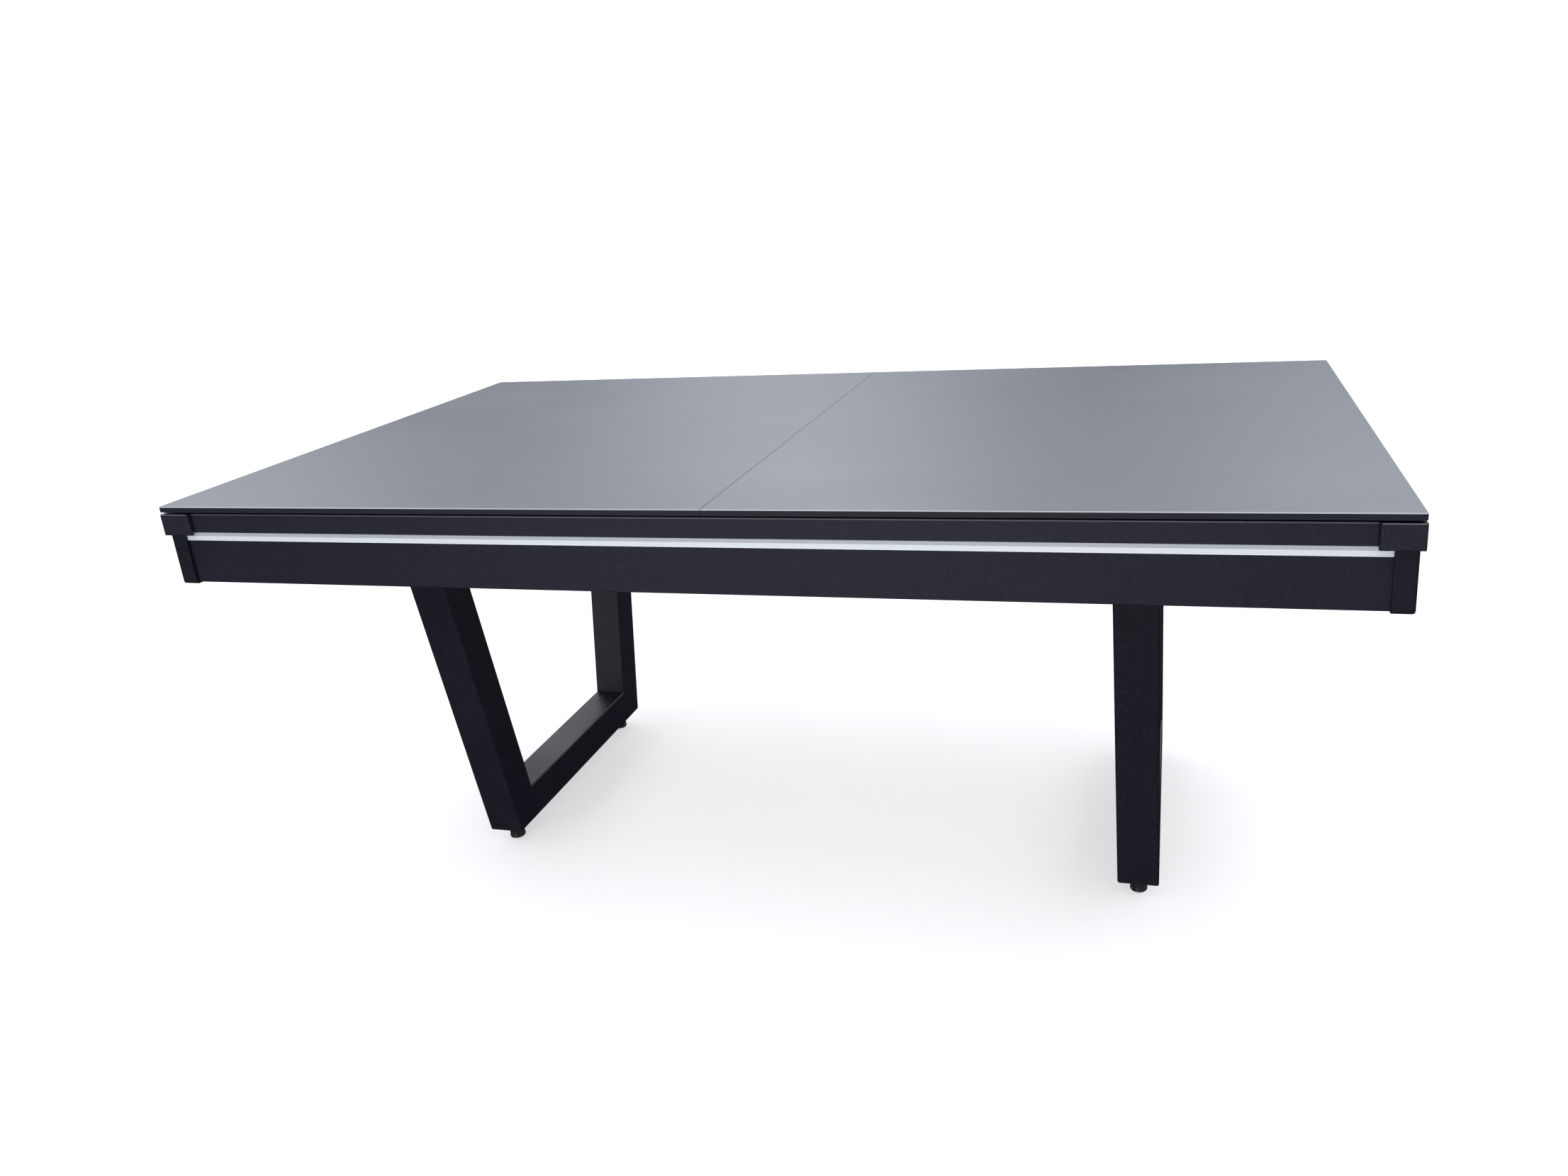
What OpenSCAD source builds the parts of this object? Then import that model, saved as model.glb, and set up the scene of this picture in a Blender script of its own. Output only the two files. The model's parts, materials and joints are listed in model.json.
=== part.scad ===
// Convertible dining pool table.
// Frame: origin on the floor at the middle of the table, +X along the
// length, +Y across the width, +Z up. Millimetres.

/* [Dining top] */
// Length of the closed dining top
top_l = 1940; // [1920:5:1960]
// Width of the closed dining top
top_w = 1070; // [1060:5:1080]
// Height of the dining surface above the floor
top_z = 785; // [780:1:800]
// Thickness of the dining-top panels
top_t = 10; // [8:1:12]
// Gap between the two panels at the seam
seam = 0.6; // [0.6:0.2:2]
// Radius of the panels' outer corners
top_r = 4; // [2:1:8]

/* [Cabinet] */
// Gap between the rails and the underside of the dining top
top_gap = 4; // [3.6:0.2:5]
// Height of the visible rail band
band_h = 33; // [31:1:34]
// Height of the metal trim strip
trim_h = 14; // [12:1:15]
// Height of the apron below the strip
apron_h = 75; // [72:1:78]
// Thickness of the apron boards
apron_t = 18; // [15:1:18]
// Length of a corner cap along each side
cap_l = 56; // [54:1:58]
// Width of a corner post
post_w = 30; // [26:1:32]

/* [Playing field] */
// Length of the playing field between the cushion noses
field_l = 1740; // [1730:2:1744]
// Width of the playing field between the cushion noses
field_w = 870; // [866:2:874]
// Depth of a cushion from rail to nose
cushion_d = 45; // [44:1:46]
// Height of the cushion nose above the cloth
nose_h = 36; // [35:0.5:37]
// Thickness of the slate
slate_t = 19; // [18:1:20]
// Radius of the corner pocket holes
corner_r = 50; // [48:1:50]
// Radius of the side pocket holes
side_r = 48; // [46:1:48]
// Nose-to-nose mouth of a corner pocket
corner_mouth = 116; // [112:1:118]
// Nose-to-nose mouth of a side pocket
side_mouth = 120; // [118:1:124]

/* [Legs] */
// Distance between the two leg frames, centre to centre
leg_span = 1224; // [1200:4:1240]
// Outer size of the square leg tube
tube = 70; // [66:1:74]
// Wall of the leg tube
tube_wall = 3; // [2.5:0.5:4]
// Outer width of a leg frame just under the cabinet
leg_top_w = 756; // [740:4:770]
// Outer width of a leg frame at its floor bar
leg_bot_w = 542; // [530:4:560]
// Height of the floor bar above the floor
bar_z = 32; // [30:1:34]

/* [Feet] */
// Diameter of a levelling foot
foot_d = 30; // [28:1:32]
// Height of the foot's collar above the floor
collar_z = 21.5; // [19:0.5:21.5]
// Diameter of the foot's stem
stem_d = 12; // [10:1:12]
// Radial running clearance of the stem in its insert
stem_fit = 0.05; // [0.03:0.01:0.1]

/* [Hidden] */

$fn = 48;
e = 0.3;                            // working gap between neighbouring pieces
c_frame = [0.15, 0.15, 0.18];
c_leg = [0.10, 0.10, 0.12];
c_top = [0.62, 0.65, 0.69];
c_trim = [0.82, 0.83, 0.85];
c_cloth = [0.17, 0.29, 0.36];
c_wood = [0.62, 0.50, 0.36];
c_steel = [0.55, 0.56, 0.58];

hx = top_l / 2;                     // dining-top outline
hy = top_w / 2;
cap_x = hx + 1;                     // cap outer faces
cap_y = hy + 1;
rail_x = cap_x - 7;                 // rail band outer faces
rail_y = cap_y - 8;
trim_x = rail_x - 1.5;
trim_y = rail_y - 1.5;
apron_x = rail_x - 3;
apron_y = rail_y - 3;
post_x = cap_x - 6;                 // post outer faces
post_y = cap_y - 6.5;

under_z = top_z - top_t;            // underside of the dining top
rail_z1 = under_z - top_gap;        // top of the rails
rail_z0 = rail_z1 - band_h;         // lower edge of the visible band
trim_z0 = rail_z0 - trim_h;
apron_z1 = trim_z0;
apron_z0 = trim_z0 - apron_h;
nx = field_l / 2;                   // cushion nose lines
ny = field_w / 2;
bx = nx + cushion_d;                // rail faces behind the cushions
by = ny + cushion_d;
bed_z = rail_z1 - nose_h - 5.5;     // top of the cloth
cloth_t = 1;
slate_z1 = bed_z - cloth_t;
slate_z0 = slate_z1 - slate_t;
slate_x = apron_x - apron_t - 2;
slate_y = apron_y - apron_t - 1.5;

cpx = nx + 22;                      // corner pocket centres
cpy = ny + 22;
spy = ny + 23;                      // side pocket centres
cup_w = 3;                          // wall of a pocket cup
cup_z0 = apron_z0 + 6;

plate_t = 8;                        // leg mounting plate
plate_z1 = apron_z0 + 15;
plate_z0 = plate_z1 - plate_t;
beam_z0 = plate_z1 + 0.02;
beam_z1 = slate_z0 - 0.02;
beam_y = 370;                       // middle of the long bed beams
beam_w = 40;
end_x = 902;                        // outer faces of the end members

lx = leg_span / 2;
ty = leg_top_w / 2;
fy = leg_bot_w / 2;
ref_z = apron_z0 + 2;               // height at which leg_top_w holds
slope = (ty - fy) / (ref_z - bar_z);
hh = tube * sqrt(1 + slope * slope);
bar_top = bar_z + tube;
foot_y = fy - tube / 2;

function oy(z) = fy + slope * (z - bar_z);

// ---------------------------------------------------------------- shapes
// rectangle from a to b with each corner cut by c
module crect(a, b, c) {
  polygon([[a[0] + c, a[1]], [b[0] - c, a[1]], [b[0], a[1] + c], [b[0], b[1] - c],
           [b[0] - c, b[1]], [a[0] + c, b[1]], [a[0], b[1] - c], [a[0], a[1] + c]]);
}
// rectangle from a to b with round corners
module rrect(a, b, r) {
  translate([a[0] + r, a[1]]) square([b[0] - a[0] - 2 * r, b[1] - a[1]]);
  translate([a[0], a[1] + r]) square([b[0] - a[0], b[1] - a[1] - 2 * r]);
  for (x = [a[0] + r, b[0] - r], y = [a[1] + r, b[1] - r]) translate([x, y]) circle(r);
}
// extrusions of a profile along X (profile in y, z) and along Y (profile in x, z)
module along_x(x0, x1) { translate([x0, 0, 0]) rotate([90, 0, 90]) linear_extrude(x1 - x0) children(); }
module along_y(y0, y1) { translate([0, y1, 0]) rotate([90, 0, 0]) linear_extrude(y1 - y0) children(); }
// box from a to b with every edge chamfered by c
module cbox(a, b, c) {
  intersection() {
    translate([0, 0, a[2]]) linear_extrude(b[2] - a[2]) crect([a[0], a[1]], [b[0], b[1]], c);
    along_x(a[0] - 1, b[0] + 1) crect([a[1], a[2]], [b[1], b[2]], c);
    along_y(a[1] - 1, b[1] + 1) crect([a[0], a[2]], [b[0], b[2]], c);
  }
}
module box(a, b) { translate(a) cube([b[0] - a[0], b[1] - a[1], b[2] - a[2]]); }
module rod(p, r, h) { translate(p) cylinder(r = r, h = h); }
module hexrod(p, af, h) { translate(p) rotate([0, 0, 30]) cylinder(d = af / cos(30), h = h, $fn = 6); }
module flip(sx, sy) { mirror([sx < 0 ? 1 : 0, 0, 0]) mirror([0, sy < 0 ? 1 : 0, 0]) children(); }

// ------------------------------------------------------------ dining top
module top_panel() {
  c = 0.6;
  intersection() {
    translate([0, 0, under_z]) linear_extrude(top_t) {
      rrect([seam / 2 + 20, -hy], [hx, hy], top_r);
      translate([seam / 2, -hy]) square([60, 2 * hy]);
    }
    along_x(-1, hx + 1) crect([-hy, under_z], [hy, top_z], c);
    along_y(-hy - 1, hy + 1) crect([seam / 2, under_z], [hx, top_z], c);
  }
}
module top_pads() {
  z0 = rail_z1 + e;
  h = under_z - z0;
  py = (by + rail_y) / 2;
  px = (bx + rail_x) / 2;
  for (s = [-1, 1]) {
    for (x = [110, 435, 760]) translate([0, 0, z0]) linear_extrude(h) rrect([x - 35, s * py - 10], [x + 35, s * py + 10], 4);
    translate([0, 0, z0]) linear_extrude(h) rrect([px - 10, s * 290 - 35], [px + 10, s * 290 + 35], 4);
  }
}
module dining_top_left() { color(c_top) flip(-1, 1) top_panel(); }
module dining_top_right() { color(c_top) top_panel(); }
module top_pads_left() { color([0.1, 0.1, 0.1]) flip(-1, 1) top_pads(); }
module top_pads_right() { color([0.1, 0.1, 0.1]) top_pads(); }

// --------------------------------------------------------- playing field
module pocket_holes(z0, z1, g = 0) {
  for (sx = [-1, 1], sy = [-1, 1]) rod([sx * cpx, sy * cpy, z0], corner_r + g, z1 - z0);
  for (sy = [-1, 1]) rod([0, sy * spy, z0], side_r + g, z1 - z0);
}
// sight marks at the quarter points between the pockets
sight_y = (by + rail_y) / 2;
sight_x = (bx + rail_x) / 2;
function sights() = concat(
  [for (sy = [-1, 1], k = [-3, -2, -1, 1, 2, 3]) [k * field_l / 8, sy * sight_y]],
  [for (sx = [-1, 1], k = [-1, 0, 1]) [sx * sight_x, k * field_w / 4]]);
bolt_y = by + 14;
bolt_x = bx + 13;
function bolts() = concat(
  [for (sy = [-1, 1], x = [-740, -500, -160, 160, 500, 740]) [x, sy * bolt_y]],
  [for (sx = [-1, 1], y = [-260, 0, 260]) [sx * bolt_x, y]]);

module slate_bed() {
  color([0.35, 0.36, 0.37]) difference() {
    cbox([-slate_x, -slate_y, slate_z0], [slate_x, slate_y, slate_z1], 1);
    pocket_holes(slate_z0 - 1, slate_z1 + 1);
    for (p = bolts()) rod([p[0], p[1], slate_z0 - 1], 4.5, slate_t + 2);
    // corners notched round the posts
    for (sx = [-1, 1], sy = [-1, 1]) flip(sx, sy)
      box([post_x - post_w - 2, post_y - post_w - 2, slate_z0 - 1], [slate_x + 1, slate_y + 1, slate_z1 + 1]);
  }
}
module bed_cloth() {
  color(c_cloth) difference() {
    box([-bx - 8, -by - 8, slate_z1], [bx + 8, by + 8, bed_z]);
    pocket_holes(slate_z1 - 1, bed_z + 1);
  }
}
// rail section: distance from the middle of the table against height
module rail_section(inner, outer, trim) {
  polygon([[inner, bed_z + e], [trim - 8.8, bed_z + e], [trim - 8.8, rail_z0 + 0.2], [outer - 1, rail_z0 + 0.2],
           [outer, rail_z0 + 1.2], [outer, rail_z1 - 2.4], [outer - 0.7, rail_z1 - 0.7], [outer - 2.4, rail_z1], [inner, rail_z1]]);
}
module rail_cuts() {
  pocket_holes(slate_z0, rail_z1 + 1);
  for (p = sights()) rod([p[0], p[1], rail_z1 - 1.1], 4.05, 2);
  for (p = bolts()) rod([p[0], p[1], bed_z - 1], 4.05, 26);
}
module long_rail() {
  color(c_frame) difference() {
    along_x(-cap_x + cap_l + e, cap_x - cap_l - e) rail_section(by, rail_y, trim_y);
    rail_cuts();
  }
}
module end_rail() {
  color(c_frame) difference() {
    along_y(-by + 0.05, by - 0.05) rail_section(bx, rail_x, trim_x);
    rail_cuts();
  }
}
module rail_front() { mirror([0, 1, 0]) long_rail(); }
module rail_back() { long_rail(); }
module rail_left() { mirror([1, 0, 0]) end_rail(); }
module rail_right() { end_rail(); }

// cushion section: u runs from the rail to the nose
module cushion_section(u0) {
  d = cushion_d;
  polygon([[u0 - 0.1, bed_z + 14], [u0 - 0.1, rail_z1 - 0.4], [u0 - d + 4, bed_z + nose_h + 2.2], [u0 - d + 1, bed_z + nose_h + 1],
           [u0 - d, bed_z + nose_h - 0.5], [u0 - d + 1.2, bed_z + nose_h - 2.5], [u0 - d + 9, bed_z + nose_h - 9], [u0 - 12, bed_z + 12]]);
}
// keep the side of a vertical plane through p, at angle a, that lies to its left
module half_space(p, a) { translate([p[0], p[1], bed_z - 5]) rotate([0, 0, a]) translate([-1500, 0, 0]) cube([3000, 1500, 60]); }
dcx = corner_mouth / sqrt(2);
module long_cushion() {
  color(c_cloth) intersection() {
    along_x(10, nx + 10) cushion_section(by);
    half_space([side_mouth / 2, ny], 104 - 180);
    half_space([nx - dcx, ny], 38);
  }
}
module end_cushion() {
  color(c_cloth) intersection() {
    along_y(-ny - 10, ny + 10) cushion_section(bx);
    half_space([nx, ny - dcx], 52 + 180);
    half_space([nx, -ny + dcx], -52);
  }
}
module cushion_back_right() { long_cushion(); }
module cushion_back_left() { flip(-1, 1) long_cushion(); }
module cushion_front_right() { flip(1, -1) long_cushion(); }
module cushion_front_left() { flip(-1, -1) long_cushion(); }
module cushion_left() { flip(-1, 1) end_cushion(); }
module cushion_right() { end_cushion(); }

// ----------------------------------------------------------- corner caps
module cap() {
  x0 = cap_x - cap_l;
  y0 = cap_y - cap_l;
  color(c_frame) difference() {
    intersection() {
      translate([0, 0, rail_z0 - 3]) linear_extrude(rail_z1 + 0.6 - rail_z0 + 3) difference() {
        rrect([x0, y0], [cap_x, cap_y], 4);
      }
      along_x(x0 - 1, cap_x + 1) crect([y0 - 5, rail_z0 - 3], [cap_y, rail_z1 + 0.6], 1.2);
      along_y(y0 - 1, cap_y + 1) crect([x0 - 5, rail_z0 - 3], [cap_x, rail_z1 + 0.6], 1.2);
    }
    // room for the post and the trim behind the outer lip
    box([x0 - 1, y0 - 1, rail_z0 - 4], [post_x + e, post_y + e, rail_z0 + 0.3]);
    rod([cpx, cpy, rail_z0 - 5], corner_r, 60);
  }
}
module corner_cap_front_left() { flip(-1, -1) cap(); }
module corner_cap_front_right() { flip(1, -1) cap(); }
module corner_cap_back_left() { flip(-1, 1) cap(); }
module corner_cap_back_right() { cap(); }

// ---------------------------------------------------------------- trims
module trim_section(outer) {
  z0 = trim_z0 + 0.15;
  z1 = rail_z0;
  polygon([[outer - 8, z0], [outer + 0.6, z0], [outer + 0.6, z0 + 1.2], [outer, z0 + 1.8], [outer, z1], [outer - 8, z1]]);
}
module trim_long() { color(c_trim) along_x(-post_x + post_w + e, post_x - post_w - e) trim_section(trim_y); }
module trim_end() { color(c_trim) along_y(-post_y + post_w + e, post_y - post_w - e) trim_section(trim_x); }
module trim_front() { mirror([0, 1, 0]) trim_long(); }
module trim_back() { trim_long(); }
module trim_left() { mirror([1, 0, 0]) trim_end(); }
module trim_right() { trim_end(); }

// ---------------------------------------------------------- apron, posts
module apron_long() {
  color(c_frame) cbox([-post_x + post_w + e, apron_y - apron_t, apron_z0], [post_x - post_w - e, apron_y, apron_z1], 1);
}
module apron_end() {
  color(c_frame) cbox([apron_x - apron_t, -post_y + post_w + e, apron_z0], [apron_x, post_y - post_w - e, apron_z1], 1);
}
module apron_front() { mirror([0, 1, 0]) apron_long(); }
module apron_back() { apron_long(); }
module apron_left() { mirror([1, 0, 0]) apron_end(); }
module apron_right() { apron_end(); }
module post() {
  x0 = post_x - post_w;
  y0 = post_y - post_w;
  z0 = apron_z0 - 2.5;
  z1 = rail_z0;
  color(c_frame) intersection() {
    translate([0, 0, z0]) linear_extrude(z1 - z0) {
      translate([x0, y0]) square([post_w - 5, post_w]);
      translate([x0, y0]) square([post_w, post_w - 5]);
      translate([post_x - 5, post_y - 5]) circle(5);
    }
    along_x(x0 - 1, post_x + 1) {
      translate([y0, z0 + 4]) square([post_w, z1 - z0 - 4]);
      translate([y0, z0]) square([post_w - 4, 10]);
      translate([post_y - 4, z0 + 4]) circle(4);
    }
    along_y(y0 - 1, post_y + 1) {
      translate([x0, z0 + 4]) square([post_w, z1 - z0 - 4]);
      translate([x0, z0]) square([post_w - 4, 10]);
      translate([post_x - 4, z0 + 4]) circle(4);
    }
  }
}
module corner_post_front_left() { flip(-1, -1) post(); }
module corner_post_front_right() { flip(1, -1) post(); }
module corner_post_back_left() { flip(-1, 1) post(); }
module corner_post_back_right() { post(); }

// --------------------------------------------------------------- pockets
// a cup through the slate with a liner wall on its outer side;
// open = angle that faces the field, half = half of the liner's opening
module cup(p, r, open, half) {
  ro = r - 0.5;
  ri = ro - cup_w;
  color([0.08, 0.08, 0.08]) translate([p[0], p[1], 0]) difference() {
    rod([0, 0, cup_z0], ro, rail_z1 - 1.5 - cup_z0);
    rod([0, 0, cup_z0 + cup_w], ri, 200);
    // drain slots in the floor keep dust out
    for (a = [0 : 60 : 300]) rotate([0, 0, a]) rod([ri * 0.55, 0, cup_z0 - 1], 4, cup_w + 2);
    // the side that faces the field stops at the level of the slate
    translate([0, 0, slate_z1 - 1]) linear_extrude(100)
      polygon([[0, 0], [150 * cos(open - half), 150 * sin(open - half)], [150 * cos(open), 150 * sin(open)], [150 * cos(open + half), 150 * sin(open + half)]]);
  }
}
module corner_cup() { cup([cpx, cpy], corner_r, 225, 96); }
module pocket_cup_back_right() { corner_cup(); }
module pocket_cup_back_left() { flip(-1, 1) corner_cup(); }
module pocket_cup_front_right() { flip(1, -1) corner_cup(); }
module pocket_cup_front_left() { flip(-1, -1) corner_cup(); }
module pocket_cup_back_middle() { cup([0, spy], side_r, 270, 116); }
module pocket_cup_front_middle() { mirror([0, 1, 0]) cup([0, spy], side_r, 270, 116); }

// ------------------------------------------------------------ small parts
module rail_sights() {
  color([0.92, 0.92, 0.9]) for (p = sights()) rod([p[0], p[1], rail_z1 - 1.1], 4, 1.1);
}
module rail_bolts() {
  color(c_steel) for (p = bolts()) {
    rod([p[0], p[1], slate_z0 - 1.6], 9, 1.5);
    hexrod([p[0], p[1], slate_z0 - 7], 13, 5.4);
    rod([p[0], p[1], slate_z0 - 2], 4, slate_t + 22);
  }
}

// -------------------------------------------------------------- bed frame
module bed_beam() {
  x1 = slate_x - 10;
  color(c_wood) difference() {
    cbox([-x1, beam_y - beam_w / 2, beam_z0], [x1, beam_y + beam_w / 2, beam_z1], 1.5);
    for (p = leg_bolt_points()) rod([p[0], p[1], beam_z0 - 1], 5.1, 32);
  }
}
module bed_beam_front() { mirror([0, 1, 0]) bed_beam(); }
module bed_beam_back() { bed_beam(); }
module cross_members() {
  y1 = beam_y - beam_w / 2 - e;
  color(c_wood) for (x = [-lx, 0, lx]) difference() {
    cbox([x - 35, -y1, beam_z0], [x + 35, y1, beam_z1], 1.5);
    for (p = leg_bolt_points()) rod([p[0], p[1], beam_z0 - 1], 5.1, 32);
  }
}
module end_members() {
  y1 = beam_y - beam_w / 2 - e;
  x1 = end_x;
  color(c_wood) for (s = [-1, 1]) cbox([s > 0 ? x1 - 40 : -x1, -y1, beam_z0], [s > 0 ? x1 : -x1 + 40, y1, beam_z1], 1.5);
}
module apron_blocks() {
  y0 = beam_y + beam_w / 2 + 0.1;
  y1 = apron_y - apron_t - 0.1;
  x0 = end_x + 0.1;
  x1 = apron_x - apron_t - 0.1;
  color(c_wood) for (s = [-1, 1]) {
    for (x = [-700, -340, 340, 700]) cbox([x - 25, s > 0 ? y0 : -y1, beam_z0 + 4], [x + 25, s > 0 ? y1 : -y0, beam_z1 - 2], 1);
    for (y = [-200, 200]) cbox([s > 0 ? x0 : -x1, y - 40, beam_z0 + 4], [s > 0 ? x1 : -x0, y + 40, beam_z1 - 2], 1);
  }
}

// ------------------------------------------------------------------- legs
function leg_bolt_points() = [for (sx = [-1, 1], sy = [-1, 1], q = [[47, beam_y], [-47, beam_y], [20, 260], [-20, 260]]) [sx * lx + q[0], sy * q[1]]];
// upright: a square tube that leans in towards the floor, mitred to the bar
module leg_tube() {
  w = tube_wall;
  ww = w * sqrt(1 + slope * slope);
  z1 = plate_z0;
  // mitre line runs from the outer bottom corner to the inner top corner
  mi = [oy(bar_top) - hh, bar_top];
  mo = [fy, bar_z];
  function mz(y) = mo[1] + (mi[1] - mo[1]) * (y - mo[0]) / (mi[0] - mo[0]);
  function my(off) = // point where the line offset inwards by off meets the mitre
    let (k = (mi[1] - mo[1]) / (mi[0] - mo[0]), a = fy - off)
    (a + slope * (mo[1] - k * mo[0] - bar_z)) / (1 - slope * k);
  yi = my(ww);
  yj = my(hh - ww);
  color(c_leg) difference() {
    along_x(-tube / 2, tube / 2) polygon([mo, [oy(z1), z1], [oy(z1) - hh, z1], mi]);
    along_x(-tube / 2 + w, tube / 2 - w) polygon([[yi + 0.001 * (mi[0] - mo[0]) * -8, mz(yi + 0.001 * (mi[0] - mo[0]) * -8)],
      [oy(z1 + 1) - ww, z1 + 1], [oy(z1 + 1) - hh + ww, z1 + 1], [yj, mz(yj)], [yj - 3, mz(yj) - 30], [yi, mz(yi) - 30]]);
  }
}
module leg_bar() {
  w = tube_wall;
  mi = oy(bar_top) - hh;
  k = (mi - fy) / (bar_top - bar_z);
  color(c_leg) difference() {
    along_x(-tube / 2, tube / 2) polygon([[-fy + 0.2, bar_z], [fy - 0.2, bar_z], [mi - 0.2, bar_top], [-mi + 0.2, bar_top]]);
    along_x(-tube / 2 + w, tube / 2 - w) polygon([[-fy - 40, bar_z + w], [fy + 40, bar_z + w], [fy + 40, bar_top - w], [-fy - 40, bar_top - w]]);
    for (s = [-1, 1]) rod([0, s * foot_y, bar_z - 1], 8.2, w + 2);
  }
}
module leg_plate() {
  color(c_leg) difference() {
    cbox([-62, -beam_y - 25, plate_z0], [62, beam_y + 25, plate_z1], 0.8);
    for (sy = [-1, 1], q = [[47, beam_y], [-47, beam_y], [20, 260], [-20, 260]])
      rod([q[0], sy * q[1], plate_z0 - 1], 5.3, plate_t + 2);
  }
}
module leg_left_front() { translate([-lx, 0, 0]) mirror([0, 1, 0]) leg_tube(); }
module leg_left_back() { translate([-lx, 0, 0]) leg_tube(); }
module leg_left_bar() { translate([-lx, 0, 0]) leg_bar(); }
module leg_left_plate() { translate([-lx, 0, 0]) leg_plate(); }
module leg_right_front() { translate([lx, 0, 0]) mirror([0, 1, 0]) leg_tube(); }
module leg_right_back() { translate([lx, 0, 0]) leg_tube(); }
module leg_right_bar() { translate([lx, 0, 0]) leg_bar(); }
module leg_right_plate() { translate([lx, 0, 0]) leg_plate(); }
module leg_bolts() {
  color(c_steel) for (p = leg_bolt_points()) {
    rod([p[0], p[1], plate_z0 - 1.6], 10, 1.5);
    hexrod([p[0], p[1], plate_z0 - 6.6], 16, 5);
    rod([p[0], p[1], plate_z0 - 2], 5, 36);
  }
}

// ------------------------------------------------------------------- feet
// threaded insert: hex flange under the bar, sleeve up through its wall
module foot_inserts() {
  color([0.13, 0.13, 0.14]) for (sx = [-1, 1], sy = [-1, 1]) translate([sx * lx, sy * foot_y, 0]) difference() {
    union() {
      hexrod([0, 0, bar_z - 8], 28, 7.95);
      rod([0, 0, bar_z - 2], 8, 16);
    }
    rod([0, 0, bar_z - 9], stem_d / 2 + stem_fit, 30);
  }
}
module foot() {
  color([0.12, 0.12, 0.13]) {
    r = foot_d / 2;
    rotate_extrude() polygon([[0, 0], [r - 2.7, 0], [r - 0.8, 1.2], [r, 3.4], [r, 6.4], [r - 0.9, 8.2], [r - 1.9, 9], [r - 1.9, 10],
      [r - 0.9, 10.8], [r - 0.7, 11.6], [r - 0.7, collar_z - 1], [r - 1.7, collar_z], [0, collar_z]]);
  }
  color(c_steel) rod([0, 0, collar_z - 1], stem_d / 2, bar_z + 28 - collar_z + 1);
}
module foot_front_left() { translate([-lx, -foot_y, 0]) foot(); }
module foot_front_right() { translate([lx, -foot_y, 0]) foot(); }
module foot_back_left() { translate([-lx, foot_y, 0]) foot(); }
module foot_back_right() { translate([lx, foot_y, 0]) foot(); }

dining_top_left();
dining_top_right();
top_pads_left();
top_pads_right();
slate_bed();
bed_cloth();
rail_front();
rail_back();
rail_left();
rail_right();
cushion_front_left();
cushion_front_right();
cushion_back_left();
cushion_back_right();
cushion_left();
cushion_right();
corner_cap_front_left();
corner_cap_front_right();
corner_cap_back_left();
corner_cap_back_right();
trim_front();
trim_back();
trim_left();
trim_right();
apron_front();
apron_back();
apron_left();
apron_right();
corner_post_front_left();
corner_post_front_right();
corner_post_back_left();
corner_post_back_right();
pocket_cup_front_left();
pocket_cup_front_middle();
pocket_cup_front_right();
pocket_cup_back_left();
pocket_cup_back_middle();
pocket_cup_back_right();
rail_sights();
rail_bolts();
bed_beam_front();
bed_beam_back();
cross_members();
end_members();
apron_blocks();
leg_left_front();
leg_left_back();
leg_left_bar();
leg_left_plate();
leg_right_front();
leg_right_back();
leg_right_bar();
leg_right_plate();
leg_bolts();
foot_inserts();
foot_front_left();
foot_front_right();
foot_back_left();
foot_back_right();
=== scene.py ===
import bpy, bmesh, json, math
from mathutils import Matrix, Vector, geometry

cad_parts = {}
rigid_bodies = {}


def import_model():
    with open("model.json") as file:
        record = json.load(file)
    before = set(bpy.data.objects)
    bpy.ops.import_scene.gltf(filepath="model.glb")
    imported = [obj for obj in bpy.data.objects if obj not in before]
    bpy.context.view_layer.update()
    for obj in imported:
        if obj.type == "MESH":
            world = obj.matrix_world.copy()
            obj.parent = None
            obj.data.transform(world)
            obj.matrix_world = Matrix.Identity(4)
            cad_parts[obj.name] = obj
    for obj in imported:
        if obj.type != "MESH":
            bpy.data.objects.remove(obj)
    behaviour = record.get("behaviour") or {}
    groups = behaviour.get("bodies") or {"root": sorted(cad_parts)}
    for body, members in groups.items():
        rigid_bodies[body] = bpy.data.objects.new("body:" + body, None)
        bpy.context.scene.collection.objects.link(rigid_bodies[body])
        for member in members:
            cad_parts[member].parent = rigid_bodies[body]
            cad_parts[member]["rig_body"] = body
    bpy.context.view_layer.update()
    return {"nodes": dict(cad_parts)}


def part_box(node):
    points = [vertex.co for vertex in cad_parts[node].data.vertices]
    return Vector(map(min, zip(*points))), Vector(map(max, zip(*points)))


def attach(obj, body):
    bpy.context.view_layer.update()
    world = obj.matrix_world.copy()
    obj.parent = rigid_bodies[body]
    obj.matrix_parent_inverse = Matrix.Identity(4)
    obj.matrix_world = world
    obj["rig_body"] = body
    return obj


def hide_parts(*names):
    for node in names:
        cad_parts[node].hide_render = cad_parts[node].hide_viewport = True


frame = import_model()
NODES = frame["nodes"]
scene = bpy.context.scene
MM = 0.001

# ------------------------------------------------------------------ camera
cam_data = bpy.data.cameras.new("camera")
cam = bpy.data.objects.new("camera", cam_data)
scene.collection.objects.link(cam)
cam_data.sensor_fit = "HORIZONTAL"
cam_data.sensor_width = 36.0
cam_data.lens = 26.659
cam_data.shift_x = -0.04977
cam_data.shift_y = -0.03595
cam_data.clip_start = 0.05
cam_data.clip_end = 200.0
cam.matrix_world = Matrix((
    (0.966034, -0.009458, 0.258243, 0.66339),
    (0.248171, 0.312558, -0.916907, -2.03016),
    (-0.072044, 0.949852, 0.304289, 1.25008),
    (0, 0, 0, 1)))
scene.camera = cam
scene.view_settings.view_transform = "Standard"
scene.view_settings.look = "None"
scene.view_settings.exposure = 0.0


# --------------------------------------------------------------- materials
def shader(name):
    m = bpy.data.materials.new(name)
    m.use_nodes = True
    nt = m.node_tree
    return m, nt, nt.nodes["Principled BSDF"]


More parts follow.
